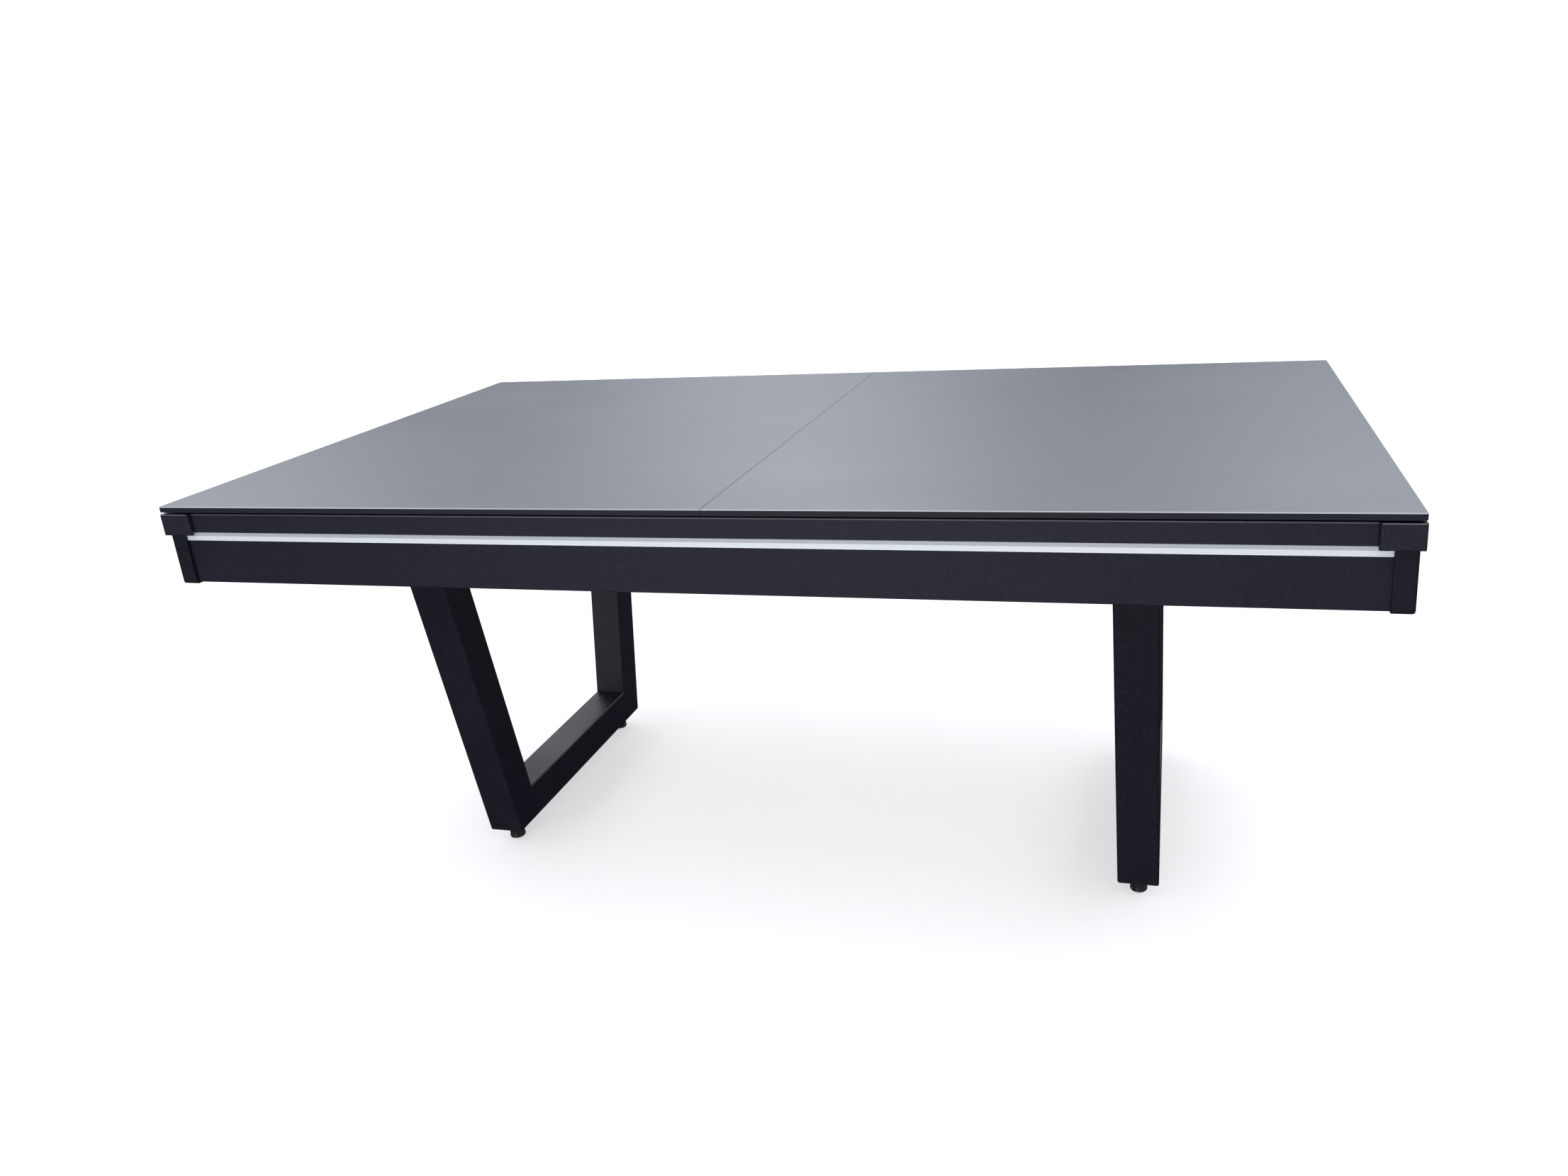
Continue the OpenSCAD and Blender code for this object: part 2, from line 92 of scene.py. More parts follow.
def N(nt, kind, **kw):
    n = nt.nodes.new(kind)
    for k, v in kw.items():
        if k == "inputs":
            for i, val in v.items():
                n.inputs[i].default_value = val
        else:
            setattr(n, k, v)
    return n


def coords(nt, scale=(1, 1, 1)):
    """Object coordinates in metres, scaled."""
    tc = N(nt, "ShaderNodeTexCoord")
    mp = N(nt, "ShaderNodeMapping")
    mp.inputs["Scale"].default_value = scale
    nt.links.new(tc.outputs["Object"], mp.inputs["Vector"])
    return mp.outputs["Vector"]


def noise(nt, vec, scale, detail=3.0, rough=0.5, distortion=0.0):
    n = N(nt, "ShaderNodeTexNoise", inputs={"Scale": scale, "Detail": detail, "Roughness": rough, "Distortion": distortion})
    nt.links.new(vec, n.inputs["Vector"])
    return n.outputs["Fac"]


def remap(nt, val, a, b, lo=0.0, hi=1.0, smooth=False):
    n = N(nt, "ShaderNodeMapRange", inputs={"From Min": lo, "From Max": hi, "To Min": a, "To Max": b})
    n.clamp = True
    if smooth:
        n.interpolation_type = "SMOOTHSTEP"
    nt.links.new(val, n.inputs["Value"])
    return n.outputs["Result"]


def mixcol(nt, fac, c1, c2, mode="MIX"):
    n = N(nt, "ShaderNodeMix", data_type="RGBA", blend_type=mode)
    for i, v in ((0, fac), (6, c1), (7, c2)):
        if hasattr(v, "links"):
            nt.links.new(v, n.inputs[i])
        elif i == 0:
            n.inputs[0].default_value = v
        else:
            n.inputs[i].default_value = (*v, 1.0)
    return n.outputs[2]


def math_node(nt, op, a, b=None):
    n = N(nt, "ShaderNodeMath", operation=op)
    for i, v in ((0, a), (1, b)):
        if v is None:
            continue
        if hasattr(v, "links"):
            nt.links.new(v, n.inputs[i])
        else:
            n.inputs[i].default_value = v
    return n.outputs[0]


def bump(nt, p, height, strength, dist, below=None):
    b = N(nt, "ShaderNodeBump", inputs={"Strength": strength, "Distance": dist})
    nt.links.new(height, b.inputs["Height"])
    if below is not None:
        nt.links.new(below, b.inputs["Normal"])
    else:
        nt.links.new(b.outputs["Normal"], p.inputs["Normal"])
    return b


def painted(name, base, light, rough, grain=900.0, depth=0.00006, spec=0.35, coat=0.0, fleck=0.0):
    """Satin paint: an orange-peel skin, slightly uneven gloss, and powder-coat flecks."""
    m, nt, p = shader(name)
    v = coords(nt)
    fine = noise(nt, v, grain, 2.0)
    broad = noise(nt, v, 7.0, 4.0, 0.55)
    mott = noise(nt, v, 60.0, 3.0)
    f = math_node(nt, "MULTIPLY", remap(nt, broad, 0.0, 1.0, 0.3, 0.75), remap(nt, mott, 0.5, 1.0))
    c = mixcol(nt, f, base, light)
    if fleck:
        sp = noise(nt, v, 420.0, 2.0, 0.7)
        c = mixcol(nt, remap(nt, sp, 0.0, fleck, 0.52, 0.70), c, tuple(x * 5.0 for x in light))
        fine = math_node(nt, "ADD", fine, math_node(nt, "MULTIPLY", sp, 0.9))
    nt.links.new(c, p.inputs["Base Color"])
    nt.links.new(remap(nt, broad, rough - 0.05, rough + 0.07, 0.3, 0.7), p.inputs["Roughness"])
    p.inputs["Specular IOR Level"].default_value = spec
    p.inputs["Coat Weight"].default_value = coat
    p.inputs["Coat Roughness"].default_value = 0.25
    bump(nt, p, fine, 0.35, depth)
    return m


def mat_laminate():
    m, nt, p = shader("laminate_top")
    v = coords(nt)
    speck = noise(nt, v, 1400.0, 2.0, 0.6)
    cloud = noise(nt, v, 2.6, 3.0, 0.5)
    c = mixcol(nt, remap(nt, speck, 0.0, 1.0, 0.35, 0.65), (0.098, 0.109, 0.127), (0.122, 0.134, 0.154))
    c = mixcol(nt, remap(nt, cloud, 0.0, 0.35, 0.3, 0.7), c, (0.126, 0.136, 0.154))
    nt.links.new(c, p.inputs["Base Color"])
    nt.links.new(remap(nt, cloud, 0.27, 0.34, 0.2, 0.8, smooth=True), p.inputs["Roughness"])
    p.inputs["Specular IOR Level"].default_value = 0.5
    return m


def mat_arris_highlight():
    """The laminate's rolled top edge, coloured much paler than the grey top: a painted highlight along the arris."""
    m, nt, p = shader("laminate_arris_highlight")
    f = noise(nt, coords(nt, (1, 1, 6)), 300.0, 3.0)
    nt.links.new(mixcol(nt, remap(nt, f, 0, 1, 0.3, 0.7), (0.40, 0.43, 0.48), (0.50, 0.53, 0.58)), p.inputs["Base Color"])
    nt.links.new(remap(nt, f, 0.30, 0.42, 0.3, 0.7), p.inputs["Roughness"])
    bump(nt, p, f, 0.2, 0.00005)
    return m


def mat_core():
    m, nt, p = shader("laminate_core")
    v = coords(nt, (1, 1, 12))
    f = noise(nt, v, 160.0, 3.0)
    nt.links.new(mixcol(nt, remap(nt, f, 0, 1, 0.3, 0.7), (0.0085, 0.0085, 0.0155), (0.0120, 0.0120, 0.0200)), p.inputs["Base Color"])
    p.inputs["Roughness"].default_value = 0.42
    p.inputs["Specular IOR Level"].default_value = 0.5
    bump(nt, p, f, 0.3, 0.0001)
    return m


def mat_trim(name, tone):
    m, nt, p = shader(name)
    v = coords(nt, (3.0, 3.0, 1600.0))
    streak = noise(nt, v, 1.0, 4.0, 0.7)
    broad = noise(nt, coords(nt), 5.0, 3.0)
    nt.links.new(mixcol(nt, remap(nt, streak, 0, 1, 0.3, 0.7), tuple(x * tone for x in (0.88, 0.915, 0.95)), tuple(x * tone for x in (0.95, 0.975, 0.995))), p.inputs["Base Color"])
    p.inputs["Metallic"].default_value = 0.35
    nt.links.new(math_node(nt, "ADD", remap(nt, streak, 0.36, 0.46, 0.3, 0.7), remap(nt, broad, 0.0, 0.06, 0.3, 0.7)), p.inputs["Roughness"])
    bump(nt, p, streak, 0.2, 0.00003)
    return m


def mat_cloth(name, a, b):
    """Napped billiard wool: a fine diagonal weave under short fibres."""
    m, nt, p = shader(name)
    v = coords(nt)
    w1 = N(nt, "ShaderNodeTexWave", wave_type="BANDS", bands_direction="X", inputs={"Scale": 520.0, "Distortion": 1.2, "Detail": 2.0, "Detail Scale": 2.0})
    w2 = N(nt, "ShaderNodeTexWave", wave_type="BANDS", bands_direction="Y", inputs={"Scale": 520.0, "Distortion": 1.2, "Detail": 2.0, "Detail Scale": 2.0})
    rot = N(nt, "ShaderNodeMapping")
    rot.inputs["Rotation"].default_value = (0.3, 0.2, math.radians(41))
    nt.links.new(v, rot.inputs["Vector"])
    nt.links.new(rot.outputs["Vector"], w1.inputs["Vector"])
    nt.links.new(rot.outputs["Vector"], w2.inputs["Vector"])
    weave = math_node(nt, "MULTIPLY", w1.outputs["Fac"], w2.outputs["Fac"])
    nap = noise(nt, v, 2600.0, 3.0, 0.7)
    broad = noise(nt, v, 9.0, 4.0, 0.6)
    f = math_node(nt, "ADD", math_node(nt, "MULTIPLY", weave, 0.45), math_node(nt, "MULTIPLY", nap, 0.55))
    c = mixcol(nt, remap(nt, f, 0, 1, 0.2, 0.7), a, b)
    c = mixcol(nt, remap(nt, broad, 0.0, 0.16, 0.4, 0.75), c, tuple(min(1, x * 1.6) for x in b))
    nt.links.new(c, p.inputs["Base Color"])
    p.inputs["Roughness"].default_value = 0.92
    p.inputs["Sheen Weight"].default_value = 0.45
    p.inputs["Sheen Roughness"].default_value = 0.5
    p.inputs["Specular IOR Level"].default_value = 0.15
    bump(nt, p, f, 0.6, 0.0002)
    return m


def mat_felt():
    m, nt, p = shader("felt_pad")
    v = coords(nt)
    f = noise(nt, v, 1100.0, 4.0, 0.75)
    nt.links.new(mixcol(nt, f, (0.012, 0.012, 0.014), (0.05, 0.05, 0.055)), p.inputs["Base Color"])
    p.inputs["Roughness"].default_value = 0.96
    p.inputs["Sheen Weight"].default_value = 0.6
    p.inputs["Specular IOR Level"].default_value = 0.1
    bump(nt, p, f, 0.8, 0.0004)
    return m


def mat_slate():
    m, nt, p = shader("slate")
    v = coords(nt, (1, 1, 6))
    f = noise(nt, v, 26.0, 8.0, 0.62, 0.3)
    g = noise(nt, v, 420.0, 3.0)
    c = mixcol(nt, remap(nt, f, 0, 1, 0.3, 0.72), (0.055, 0.060, 0.066), (0.135, 0.142, 0.150))
    nt.links.new(mixcol(nt, remap(nt, g, 0, 0.3, 0.45, 0.7), c, (0.20, 0.205, 0.21)), p.inputs["Base Color"])
    nt.links.new(remap(nt, f, 0.58, 0.74, 0.3, 0.7), p.inputs["Roughness"])
    bump(nt, p, math_node(nt, "ADD", f, math_node(nt, "MULTIPLY", g, 0.3)), 0.4, 0.0006)
    return m


def mat_timber():
    m, nt, p = shader("frame_timber")
    v = coords(nt, (1.6, 26.0, 26.0))
    grain = noise(nt, v, 3.2, 6.0, 0.62, 1.4)
    ring = N(nt, "ShaderNodeTexWave", wave_type="BANDS", bands_direction="Z", inputs={"Scale": 2.4, "Distortion": 5.0, "Detail": 3.0, "Detail Scale": 1.5})
    nt.links.new(coords(nt, (0.5, 9.0, 9.0)), ring.inputs["Vector"])
    pore = noise(nt, coords(nt, (22.0, 900.0, 900.0)), 1.0, 3.0)
    c = mixcol(nt, remap(nt, grain, 0, 1, 0.3, 0.7), (0.44, 0.29, 0.155), (0.62, 0.45, 0.27))
    c = mixcol(nt, remap(nt, ring.outputs["Fac"], 0.0, 0.4), c, (0.36, 0.22, 0.11))
    c = mixcol(nt, remap(nt, pore, 0.25, 0.0, 0.3, 0.5), c, (0.22, 0.13, 0.07))
    nt.links.new(c, p.inputs["Base Color"])
    nt.links.new(remap(nt, grain, 0.55, 0.72, 0.3, 0.7), p.inputs["Roughness"])
    bump(nt, p, math_node(nt, "ADD", grain, pore), 0.3, 0.0004)
    return m


def mat_plastic():
    m, nt, p = shader("pocket_plastic")
    v = coords(nt)
    vo = N(nt, "ShaderNodeTexVoronoi", feature="DISTANCE_TO_EDGE", inputs={"Scale": 520.0})
    nt.links.new(v, vo.inputs["Vector"])
    h = remap(nt, vo.outputs["Distance"], 0.0, 1.0, 0.0, 0.25)
    broad = noise(nt, v, 30.0, 3.0)
    nt.links.new(mixcol(nt, broad, (0.010, 0.010, 0.011), (0.022, 0.022, 0.024)), p.inputs["Base Color"])
    nt.links.new(remap(nt, broad, 0.44, 0.58, 0.3, 0.7), p.inputs["Roughness"])
    bump(nt, p, h, 0.4, 0.00012)
    return m


def mat_steel(name, a, b, rough, metal=1.0):
    m, nt, p = shader(name)
    v = coords(nt)
    f = noise(nt, v, 260.0, 4.0, 0.65)
    g = noise(nt, v, 1500.0, 2.0)
    nt.links.new(mixcol(nt, remap(nt, f, 0, 1, 0.3, 0.7), a, b), p.inputs["Base Color"])
    p.inputs["Metallic"].default_value = metal
    nt.links.new(remap(nt, f, rough - 0.06, rough + 0.12, 0.3, 0.7), p.inputs["Roughness"])
    bump(nt, p, g, 0.25, 0.00004)
    return m


def mat_pearl():
    m, nt, p = shader("sight_pearl")
    v = coords(nt)
    f = noise(nt, v, 220.0, 4.0, 0.6, 2.0)
    c = mixcol(nt, remap(nt, f, 0, 1, 0.3, 0.7), (0.72, 0.74, 0.76), (0.93, 0.90, 0.84))
    nt.links.new(c, p.inputs["Base Color"])
    nt.links.new(remap(nt, f, 0.12, 0.26, 0.3, 0.7), p.inputs["Roughness"])
    p.inputs["Coat Weight"].default_value = 0.8
    p.inputs["Coat Roughness"].default_value = 0.06
    return m


LAM = mat_laminate()
CORE = mat_core()
RAIL = painted("rail_lacquer", (0.0070, 0.0066, 0.0175), (0.0100, 0.0094, 0.0225), 0.38, 700.0, 0.00004, 0.50, fleck=0.25)
CAP = painted("cap_lacquer", (0.0075, 0.0072, 0.0170), (0.0105, 0.0098, 0.0215), 0.45, 1100.0, 0.00009, 0.48, fleck=0.45)
APRON = painted("apron_lacquer", (0.0060, 0.0058, 0.0145), (0.0085, 0.0082, 0.0185), 0.37, 700.0, 0.00004, 0.48, fleck=0.25)
POST = painted("post_lacquer", (0.0035, 0.0037, 0.0090), (0.0052, 0.0054, 0.0115), 0.40, 800.0, 0.00006, 0.42, fleck=0.35)
LEG = painted("leg_paint", (0.0028, 0.0033, 0.0090), (0.0045, 0.0051, 0.0125), 0.38, 1000.0, 0.00010, 0.50, fleck=0.55)
# a much lighter copy of the dark lacquer for the top outer edges of rails and caps: a painted highlight
EDGE_HIGHLIGHT = painted("painted_edge_highlight", (0.075, 0.078, 0.098), (0.105, 0.110, 0.135), 0.26, 500.0, 0.00004, 0.60)
ARRIS_HIGHLIGHT = mat_arris_highlight()
TRIM = mat_trim("trim_metal", 1.0)
# a darker copy of the trim metal: painted shade on the strip's upper band, under the rail
TRIM_SHADED_BAND = mat_trim("trim_metal_shaded_band", 0.68)
CLOTH = mat_cloth("bed_cloth", (0.050, 0.115, 0.160), (0.085, 0.175, 0.235))
CUSH = mat_cloth("cushion_cloth", (0.050, 0.115, 0.160), (0.085, 0.175, 0.235))
FELT = mat_felt()
SLATE = mat_slate()
TIMBER = mat_timber()
PLASTIC = mat_plastic()
BOLT = mat_steel("bolt_steel", (0.42, 0.43, 0.45), (0.62, 0.63, 0.64), 0.34)
BLACK = mat_steel("black_steel", (0.018, 0.018, 0.020), (0.035, 0.035, 0.038), 0.38, 0.35)
RIM = mat_steel("foot_rim", (0.62, 0.63, 0.64), (0.82, 0.82, 0.83), 0.20)
PEARL = mat_pearl()


# ---------------------------------------------------------------- meshing
def finish_mesh(name, bm, mats, smooth_angle=35.0, weighted=True):
    bmesh.ops.remove_doubles(bm, verts=bm.verts, dist=1e-6)
    bmesh.ops.recalc_face_normals(bm, faces=bm.faces)
    me = bpy.data.meshes.new(name)
    for m in mats:
        me.materials.append(m)
    for f in bm.faces:
        f.smooth = True
    for e in bm.edges:
        e.smooth = len(e.link_faces) != 2 or e.calc_face_angle(0.0) < math.radians(smooth_angle)
    bm.to_mesh(me)
    bm.free()
    ob = bpy.data.objects.new(name, me)
    scene.collection.objects.link(ob)
    if weighted:
        w = ob.modifiers.new("weighted", "WEIGHTED_NORMAL")
        w.keep_sharp = True
        w.weight = 80
    return ob


def loft(bm, rings, close=True, mat=0, mats=None, cap0=False, cap1=False):
    """Quads between rings of the same count. Returns the rings' vertices."""
    vs = [[bm.verts.new(p) for p in r] for r in rings]
    n = len(rings[0])
    for i in range(len(vs) - 1):
        for j in range(n if close else n - 1):
            k = (j + 1) % n
            f = bm.faces.new((vs[i][j], vs[i][k], vs[i + 1][k], vs[i + 1][j]))
            f.material_index = mats[i] if mats else mat
    if cap0:
        bm.faces.new(list(reversed(vs[0]))).material_index = mats[0] if mats else mat
    if cap1:
        bm.faces.new(vs[-1]).material_index = mats[-1] if mats else mat
    return vs


def rr_outline(x0, x1, y0, y1, radii, inset=0.0, seg=6):
    """Rounded rectangle, counter-clockwise from the low corner. radii is one for each corner."""
    pts = []
    cs = ((x0, y0, 180, radii[0]), (x1, y0, 270, radii[1]), (x1, y1, 0, radii[2]), (x0, y1, 90, radii[3]))
    for cx, cy, a0, r in cs:
        ox = cx + r if cx == x0 else cx - r
        oy = cy + r if cy == y0 else cy - r
        rr = max(r - inset, 1e-5)
        if r <= inset:
            ox += (inset - r) * (1 if cx == x0 else -1)
            oy += (inset - r) * (1 if cy == y0 else -1)
        for i in range(seg + 1):
            a = math.radians(a0 + 90.0 * i / seg)
            pts.append((ox + rr * math.cos(a), oy + rr * math.sin(a)))
    return pts


def slab(name, lo, hi, radii, r_top, r_bot, mats=(0, 0, 0), skin=None, seg=6, seam=None):
    """A board with round corners and rolled top and bottom edges. skin is the depth of a top layer with its own material."""
    bm = bmesh.new()
    prof = []
    for i in range(5):
        a = math.radians(90.0 * i / 4)
        prof.append((r_bot * (1 - math.sin(a)), lo[2] + r_bot * (1 - math.cos(a))))
    if skin:
        prof.append((0.0, hi[2] - skin))
    for i in range(5):
        a = math.radians(90.0 * i / 4)
        prof.append((r_top * (1 - math.cos(a)), hi[2] - r_top * (1 - math.sin(a))))
    rings, ms = [], []
    for ins, z in prof:
        ring = [(x, y, z) for x, y in rr_outline(lo[0], hi[0], lo[1], hi[1], radii, ins, seg)]
        if seam is not None:      # the edge that meets the other panel is nearly square
            e = hi[0] if seam > 0 else lo[0]
            ring = [(e - seam * min(ins, 0.0002), y, z) if abs(x - e) < 2.4 * MM else (x, y, z) for x, y, z in ring]
        rings.append(ring)
    for (i0, z0), (i1, z1) in zip(prof, prof[1:]):
        ms.append(mats[3] if len(mats) > 3 and (z0 + z1) / 2 > hi[2] - skin else mats[0] if skin and (z0 + z1) / 2 > hi[2] - skin else mats[1])
    vs = loft(bm, rings, mats=ms)
    bm.faces.new(list(reversed(vs[0]))).material_index = mats[2]
    bm.faces.new(vs[-1]).material_index = mats[0]
    return bm


def rbox(bm, lo, hi, r, seg=3, mat=0):
    """Adds a box with every edge rounded."""
    d = bmesh.ops.create_cube(bm, size=1.0)
    vs = d["verts"]
    for v in vs:
        v.co = Vector([lo[i] if v.co[i] < 0 else hi[i] for i in range(3)])
    es = list({e for v in vs for e in v.link_edges})
    fs = list({f for v in vs for f in v.link_faces})
    for f in fs:
        f.material_index = mat
    bmesh.ops.bevel(bm, geom=es, offset=r, segments=seg, profile=0.5, affect="EDGES", clamp_overlap=True)


def lathe(bm, prof, c=(0, 0), seg=48, mats=None, hexaf=None, rot=0.0):
    """Turns (radius, z) points round a vertical axis. hexaf trims the radius to a hexagon, which gives a nut its chamfers."""
    rings = []
    for r, z in prof:
        ring = []
        for i in range(seg):
            a = 2 * math.pi * i / seg
            rr = r
            if hexaf:
                b = (a - rot) % (math.pi / 3) - math.pi / 6
                rr = min(r, hexaf / 2 / math.cos(b))
            ring.append((c[0] + rr * math.cos(a), c[1] + rr * math.sin(a), z))
        rings.append(ring)
    vs = loft(bm, rings, mats=mats or [0] * len(rings))
    if prof[0][0] > 1e-6:
        bm.faces.new(list(reversed(vs[0]))).material_index = mats[0] if mats else 0
    if prof[-1][0] > 1e-6:
        bm.faces.new(vs[-1]).material_index = mats[-1] if mats else 0
    return vs


def soften(node, width, mat, seg=2, angle=25.0, name=None, keep=None, edge=None):
    """A copy of a CAD node with every hard edge rounded. edge, if given, is a lighter material put on the narrow faces
    along the top outer edge: a painted highlight.
    """
    src = NODES[node]
    bm = bmesh.new()
    bm.from_mesh(src.data)
    bmesh.ops.remove_doubles(bm, verts=bm.verts, dist=2e-6)
    bmesh.ops.dissolve_limit(bm, angle_limit=math.radians(0.6), verts=bm.verts, edges=bm.edges)
    es = [e for e in bm.edges if len(e.link_faces) == 2 and e.calc_face_angle(0.0) > math.radians(angle)
          and (keep is None or keep(e))]
    bmesh.ops.bevel(bm, geom=es, offset=width, segments=seg, profile=0.5, affect="EDGES", clamp_overlap=True)
    top = max(v.co.z for v in bm.verts)
    for f in bm.faces:
        f.material_index = 0
        if edge:      # the narrow faces that lean out and up, along the top edge, take the lighter edge material: a painted highlight where the rounding catches the light
            f.normal_update()
            c = f.calc_center_median()
            if 0.25 < f.normal.z < 0.985 and c.z > top - 4.0 * MM and (abs(c.x) > 0.955 or abs(c.y) > 0.518):
                f.material_index = 1
    ob = finish_mesh(name or "show_" + node, bm, [mat, edge] if edge else [mat])
    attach(ob, NODES[node]["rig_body"])
    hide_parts(node)
    return ob


def put(ob, body, slot, *nodes):
    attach(ob, body)
    if nodes:
        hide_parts(*nodes)
    return ob


def board(bm, axis, lo, hi, r, seg=3):
    """Adds a board along an axis, with its long edges rounded and its butt ends square."""
    d = bmesh.ops.create_cube(bm, size=1.0)
    for v in d["verts"]:
        v.co = Vector([lo[i] if v.co[i] < 0 else hi[i] for i in range(3)])
    es = [e for e in bm.edges if abs((e.verts[0].co - e.verts[1].co)[axis]) > 0.01]
    bmesh.ops.bevel(bm, geom=es, offset=r, segments=seg, profile=0.5, affect="EDGES", clamp_overlap=True)


# -------------------------------------------------------------- dining top
for side, sgn in (("left", -1), ("right", 1)):
    node = "dining_top_" + side
    lo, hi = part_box(node)
    r = 4.0 * MM
    s = 0.9 * MM
    radii = (r, s, s, r) if sgn < 0 else (s, r, r, s)
    if sgn < 0:
        hi.x = -0.25 * MM
    else:
        lo.x = 0.25 * MM
    # the rolled top edge (material 2) is coloured far paler than the top: a painted highlight
    bm = slab(node, lo, hi, radii, 1.25 * MM, 0.6 * MM, mats=(0, 1, 1, 2), skin=1.3 * MM, seam=-sgn)
    # at the seam the painted highlight is left off and the edge takes the core colour
    e = hi.x if sgn < 0 else lo.x
    for f in bm.faces:
        if f.material_index == 2 and abs(f.calc_center_median().x - e) < 1.0 * MM:
            f.material_index = 1
    ob = finish_mesh("panel_" + side, bm, [LAM, CORE, ARRIS_HIGHLIGHT])
    put(ob, node, "laminate_top", node)
    # spacer pads
    pnode = "top_pads_" + side
    bm = bmesh.new()
    plo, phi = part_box(pnode)
    co = [v.co.copy() for v in NODES[pnode].data.vertices]
    # one box for each separate pad, from the CAD solid's own vertices
    groups = []
    for c in co:
        for g in groups:
            if abs(g[0].x - c.x) < 0.08 and abs(g[0].y - c.y) < 0.08:
                g.append(c)
                break
        else:
            groups.append([c])
    for g in groups:
        a = Vector([min(c[i] for c in g) for i in range(3)])
        b = Vector([max(c[i] for c in g) for i in range(3)])
        sub = slab("pad", a, b, (4 * MM,) * 4, 0.5 * MM, 1.0 * MM, mats=(0, 0, 0))
        me = bpy.data.meshes.new("tmp")
        sub.to_mesh(me)
        sub.free()
        bm.from_mesh(me)
        bpy.data.meshes.remove(me)
    ob = finish_mesh("spacer_pads_" + side, bm, [FELT])
    put(ob, node, "felt_pad", pnode)

# ------------------------------------------------------------ cabinet skin
for end in ("front", "back", "left", "right"):
    lo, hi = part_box("apron_" + end)
    bm = bmesh.new()
    ax = 0 if end in ("front", "back") else 1
    lo[ax] -= 0.6 * MM
    hi[ax] += 0.6 * MM
    board(bm, ax, lo, hi, 1.3 * MM)
    put(finish_mesh("apron_board_" + end, bm, [APRON]), "table", "apron_lacquer", "apron_" + end)
    # the rail's top outer edge takes the lighter edge material: a painted highlight
    soften("rail_" + end, 0.8 * MM, RAIL, name="rail_board_" + end, edge=EDGE_HIGHLIGHT)
    # aluminium strip: a recessed band over a proud band with a bright lip. The recessed upper band is coloured as a
    # darker copy of the metal: painted shade under the rail's overhang.
    lo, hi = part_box("trim_" + end)
    sg = -1 if end in ("front", "left") else 1
    o = (hi if sg > 0 else lo)[1 - ax] * sg
    i = (lo if sg > 0 else hi)[1 - ax] * sg
    z0, z1 = lo.z, hi.z
    key = [(i, z0), (o - 0.5 * MM, z0), (o - 0.15 * MM, z0 + 0.12 * MM), (o, z0 + 0.45 * MM), (o - 0.08 * MM, z0 + 0.85 * MM), (o - 0.5 * MM, z0 + 1.25 * MM),
           (o - 0.6 * MM, z0 + 1.5 * MM), (o - 0.75 * MM, z0 + 7.6 * MM), (o - 0.95 * MM, z0 + 8.0 * MM), (o - 1.5 * MM, z0 + 8.2 * MM),
           (o - 1.55 * MM, z0 + 8.5 * MM), (o - 1.4 * MM, z1 - 0.25 * MM), (o - 1.6 * MM, z1), (i, z1)]
    km = [0, 0, 0, 0, 0, 0, 0, 0, 1, 1, 1, 1, 1, 0]
    bm = bmesh.new()
    e0, e1 = lo[ax], hi[ax]
    rings = []
    for t in (e0, e0 + 0.4 * MM, e1 - 0.4 * MM, e1):
        pull = 0.3 * MM if t in (e0, e1) else 0.0
        ring = []
        for d, z in key:
            p = [0, 0, min(max(z, z0 + pull), z1 - pull)]
            p[ax] = t
            p[1 - ax] = sg * (min(d, o - 0.6 * MM - pull) if pull else d)
            ring.append(tuple(p))
        rings.append(ring)
    vs = loft(bm, rings)
    # the upper band's faces take the darker copy of the metal: painted shade
    for f in bm.faces:
        zc = f.calc_center_median().z
        f.material_index = 1 if zc > z0 + 7.9 * MM else 0
    bm.faces.new(list(reversed(vs[0])))
    bm.faces.new(vs[-1])
    put(finish_mesh("trim_strip_" + end, bm, [TRIM, TRIM_SHADED_BAND], smooth_angle=30), "table", "trim_metal", "trim_" + end)
for fb in ("front", "back"):
    for lr in ("left", "right"):
        # the cap's top outer edge takes the lighter edge material: a painted highlight
        soften(f"corner_cap_{fb}_{lr}", 1.0 * MM, CAP, seg=3, name=f"cap_{fb}_{lr}", edge=EDGE_HIGHLIGHT)
        node = f"corner_post_{fb}_{lr}"
        lo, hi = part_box(node)
        bm = bmesh.new()
        d = bmesh.ops.create_cube(bm, size=1.0)
        for v in d["verts"]:
            v.co = Vector([lo[i] if v.co[i] < 0 else hi[i] for i in range(3)])
        ox = hi.x if lr == "right" else lo.x
        oy = hi.y if fb == "back" else lo.y

        def near(e, ax, val):
            return all(abs(v.co[ax] - val) < 1e-6 for v in e.verts)
        vert = [e for e in bm.edges if near(e, 0, ox) and near(e, 1, oy)]
        low = [e for e in bm.edges if near(e, 2, lo.z) and (near(e, 0, ox) or near(e, 1, oy))]
        bmesh.ops.bevel(bm, geom=vert + low, offset=4.5 * MM, segments=7, profile=0.5, affect="EDGES", clamp_overlap=True)
        ix = lo.x if lr == "right" else hi.x
        iy = lo.y if fb == "back" else hi.y
        inner = [e for e in bm.edges if abs(e.verts[0].co.z - e.verts[1].co.z) > 0.05
                 and ((near(e, 0, ix) and near(e, 1, oy)) or (near(e, 1, iy) and near(e, 0, ox)))]
        bmesh.ops.bevel(bm, geom=inner, offset=1.6 * MM, segments=3, profile=0.5, affect="EDGES", clamp_overlap=True)
        put(finish_mesh(f"post_{fb}_{lr}", bm, [POST]), "table", "post_lacquer", node)

# ------------------------------------------------------------------- legs
BAR_LO, BAR_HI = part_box("leg_left_bar")
PL_LO, PL_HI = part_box("leg_left_plate")
LX = (BAR_LO.x + BAR_HI.x) / 2
TUBE = BAR_HI.x - BAR_LO.x
fl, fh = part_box("leg_left_front")
bot_out = -fl.y if False else None
